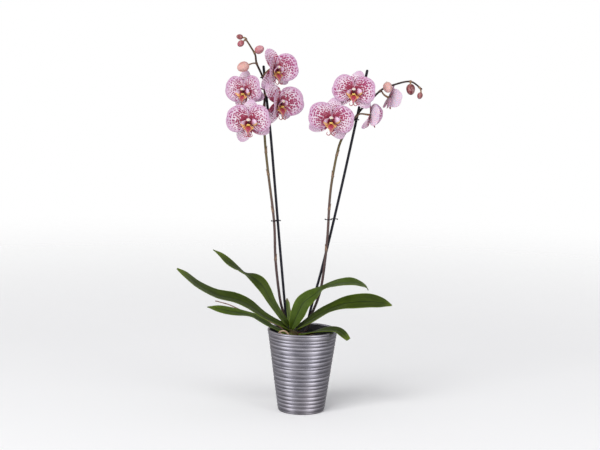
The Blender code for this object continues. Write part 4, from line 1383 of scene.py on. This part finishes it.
def add_column(piece, place, size):
    """The stubby column: a club that leans forward, flattened below, with a pale cap at its end."""
    rows, columns = 20, 22
    points, share = [], []
    for i in range(rows):
        s = i / (rows - 1)
        z = 1.9 + 9.6 * s
        radius = (2.6 + 1.5 * math.sin(math.pi * min(1.0, 0.25 + 0.62 * s))) * math.sqrt(
            max(0.0, 1 - max(0, s - 0.62) ** 2 / 0.1445)
        )
        lean = 0.6 + 2.0 * math.sin(math.pi / 2 * s)
        for j in range(columns):
            angle = 2 * math.pi * j / columns
            x, y = radius * math.cos(angle), radius * math.sin(angle)
            if y < 0:
                y *= 0.55 - 0.35 * math.sin(math.pi * min(1, s * 1.1))
            points.append((x, y + lean, z))
            share.append(s)
    points = np.array(points)
    faces = [*grid_faces(rows, columns, wrap=True), list(range(columns))[::-1]]
    piece.add(settle(points, place, size), faces, 0, along=share)


def flower_materials():
    front = petal_material("petal_face", 9.0, 11.0, (0.56, 0.35, 0.50), (0.76, 0.63, 0.71))
    sepal = petal_material("sepal_face", 4.2, 11.5, (0.60, 0.40, 0.55), (0.76, 0.63, 0.72), 0.13)
    back = petal_back_material("petal_back", (0.72, 0.58, 0.70), (0.60, 0.36, 0.46))
    sepal_back = petal_back_material("sepal_back", (0.44, 0.20, 0.32), (0.22, 0.09, 0.06))
    callus = plain_material("lip_callus", (0.80, 0.42, 0.05), (0.86, 0.66, 0.20), 900.0, 0.4)
    s = Shader("column_skin", Roughness=0.38, Subsurface_Weight=0.15, Subsurface_Scale=0.002)
    s.into("Base Color", s.ramp(
        s.value("along"), (0.0, (0.30, 0.03, 0.12)), (0.35, (0.52, 0.22, 0.38)),
        (0.6, (0.70, 0.50, 0.62)), (0.85, (0.76, 0.66, 0.66)), (1.0, (0.72, 0.62, 0.40)),
    ))
    return front, back, sepal, sepal_back, lobe_material(), lip_material(), callus, s.material


def make_bud(name):
    _, _, centre, radius, way, base, tip = BUDS[name]
    way = unit(np.array(way, float))
    right = unit(np.cross(way, (0.1, 0.2, 1.0)))
    up = np.cross(right, way)
    rows, columns = 30, 42
    points, share, around, seam = [], [], [], []
    for i in range(rows):
        s = i / (rows - 1)
        polar = math.pi * s
        girth = math.sin(polar) * (1 + 0.10 * math.cos(polar + 0.4)) * 0.93
        depth = -math.cos(polar) * BUD_STRETCH
        for j in range(columns):
            angle = 2 * math.pi * j / columns
            groove = abs(math.sin(1.5 * angle)) ** 0.35
            r = girth * (0.955 + 0.045 * groove)
            points.append((math.cos(angle) * r, math.sin(angle) * r, depth))
            share.append(s)
            around.append(angle)
            seam.append((1 - groove) * math.sin(polar))
    points = np.array(points) * radius
    origin = above_rim(*centre)
    world = origin + MM * (points[:, :1] * right + points[:, 1:2] * up + points[:, 2:] * way)
    piece = Piece(f"fine_{name}")
    piece.add(world, grid_faces(rows, columns, wrap=True), along=share, around=around, seam=seam)
    return piece.make([bud_material(f"{name}_skin", base, tip)], [name])


# ================================================================ stage
STRIP_HEIGHT, KEY_POWER, KEY_SPREAD = 1.9, 1.5, math.radians(35)
SKY_LIGHT, ROOM_LIGHT = 0.5, 2.4
# The mirrored room, as (share of a turn about Z, tone): the middle faces the front.
ROOM_AROUND = (
    (0.0, 0.20), (0.14, 0.26), (0.28, 0.34), (0.325, 0.84), (0.347, 1.0), (0.369, 0.84),
    (0.415, 0.38), (0.5, 0.33), (0.57, 0.42), (0.60, 0.88), (0.626, 1.0), (0.652, 0.86),
    (0.70, 0.36), (0.80, 0.20), (1.0, 0.20),
)
# The same room, as (half of 1 + the sine of the angle above level, tone).
ROOM_RISING = (
    (0.0, 0.25), (0.2, 0.32), (0.38, 0.52), (0.5, 0.75), (0.62, 1.0), (0.8, 0.55), (1.0, 0.40)
)


def aim(obj, target):
    obj.rotation_euler = (Vector(target) - obj.location).to_track_quat("-Z", "Y").to_euler()


def area_light(name, place, target, width, height, power):
    light = bpy.data.lights.new(name, "AREA")
    light.shape = "RECTANGLE"
    light.size, light.size_y = width, height
    light.energy = power
    obj = add_object(name, light)
    obj.location = place
    aim(obj, target)
    obj.visible_camera = False
    obj.visible_glossy = False


def make_floor():
    """A pale floor that fades out into the white behind it."""
    mesh = bpy.data.meshes.new("floor")
    mesh.from_pydata([(-6, -6, 0), (6, -6, 0), (6, 6, 0), (-6, 6, 0)], [], [(0, 1, 2, 3)])
    s = Shader("floor_white", Roughness=0.9)
    place = s.place()
    s.into("Base Color", s.mix(s.noise(place, 2.0), (0.94, 0.94, 0.94), (0.96, 0.96, 0.96)))
    distance = s.nodes.new("ShaderNodeVectorMath")
    distance.operation = "LENGTH"
    s.put(distance.inputs[0], place)
    s.into("Alpha", s.fit(distance.outputs["Value"], 0.5, 3.2, 1.0, 0.0))
    mesh.materials.append(s.material)
    floor = add_object("floor", mesh)
    floor.visible_glossy = False


def make_world():
    """White to the camera, a soft grey sky for light, and a room for gloss to mirror."""
    world = bpy.data.worlds.new("studio")
    bpy.context.scene.world = world
    world.use_nodes = True
    w = Nodes(world.node_tree)
    split = w.nodes.new("ShaderNodeSeparateXYZ")
    w.put(split.inputs[0], w.nodes.new("ShaderNodeTexCoord").outputs["Generated"])
    x, y, z = split.outputs
    turn = w.math("ARCTAN2", x, w.times(y, -1))
    around = w.ramp(w.plus(w.math("DIVIDE", turn, 2 * math.pi), 0.5), *ROOM_AROUND)
    rising = w.ramp(w.plus(w.times(z, 0.5), 0.5), *ROOM_RISING)
    room = w.times(w.times(around, rising), ROOM_LIGHT)

    seen = w.nodes.new("ShaderNodeLightPath")
    last = w.nodes["Background"]
    w.put(last.inputs["Color"], (SKY_LIGHT, SKY_LIGHT, SKY_LIGHT * 1.03))
    for ray, tone in (("Is Glossy Ray", room), ("Is Camera Ray", (1.0, 1.0, 1.0))):
        shade = w.nodes.new("ShaderNodeBackground")
        w.put(shade.inputs["Color"], tone)
        choose = w.nodes.new("ShaderNodeMixShader")
        for socket, value in zip(
            choose.inputs, (seen.outputs[ray], last.outputs[0], shade.outputs[0])
        ):
            w.put(socket, value)
        last = choose
    w.put(w.nodes["World Output"].inputs["Surface"], last.outputs[0])


def make_stage():
    bpy.context.scene.view_settings.view_transform = "Standard"
    make_floor()
    make_world()
    middle = (0, 0, 0.35)
    area_light("strip_left", (-1.35, -1.30, 0.75), middle, 0.42, STRIP_HEIGHT, 10)
    area_light("strip_right", (1.30, -1.35, 0.75), middle, 0.50, STRIP_HEIGHT, 9)
    sun = bpy.data.lights.new("key", "SUN")
    sun.energy = KEY_POWER
    sun.angle = KEY_SPREAD
    key = add_object("key", sun)
    key.location = (-1.0, -2.2, 2.6)
    aim(key, middle)
    key.visible_glossy = False


CAMERA_PLACE, CAMERA_TARGET = (-0.0084, -2.6, 0.66), (-0.0084, 0, 0.344)
CAMERA_LENS, CAMERA_SENSOR, CAMERA_ROLL = 86.2, 36, math.radians(1.1)


def make_camera():
    data = bpy.data.cameras.new("camera")
    data.lens, data.sensor_width = CAMERA_LENS, CAMERA_SENSOR
    camera = add_object("camera", data)
    place = Vector(CAMERA_PLACE)
    turn = (Vector(CAMERA_TARGET) - place).to_track_quat("-Z", "Y").to_matrix().to_4x4()
    camera.matrix_world = Matrix.Translation(place) @ turn @ Matrix.Rotation(CAMERA_ROLL, 4, "Z")
    bpy.context.scene.camera = camera


def main():
    make_camera()
    make_stage()
    make_cachepot()
    make_nursery_pot()
    make_bark()
    make_roots()
    make_crown()
    make_leaves()
    skin = stem_material()
    scale = plain_material(
        "bract_scale", (0.17, 0.09, 0.06), (0.34, 0.24, 0.15), 500.0, 0.7, 0.5, 0.0005
    )
    black = plain_material(
        "black_plastic_skin", (0.005, 0.005, 0.009), (0.012, 0.012, 0.022), 300.0, 0.45, 0.12,
        Specular_IOR_Level=0.3,
    )
    for side in SPIKES:
        make_spike(side, [skin, scale])
        make_stake(side, black)
    for name, (side, height) in CLIPS.items():
        make_clip(name, side, height, black)
    materials = flower_materials()
    for index, name in enumerate(FLOWERS):
        make_flower(index, name, materials)
    for name in BUDS:
        make_bud(name)


main()
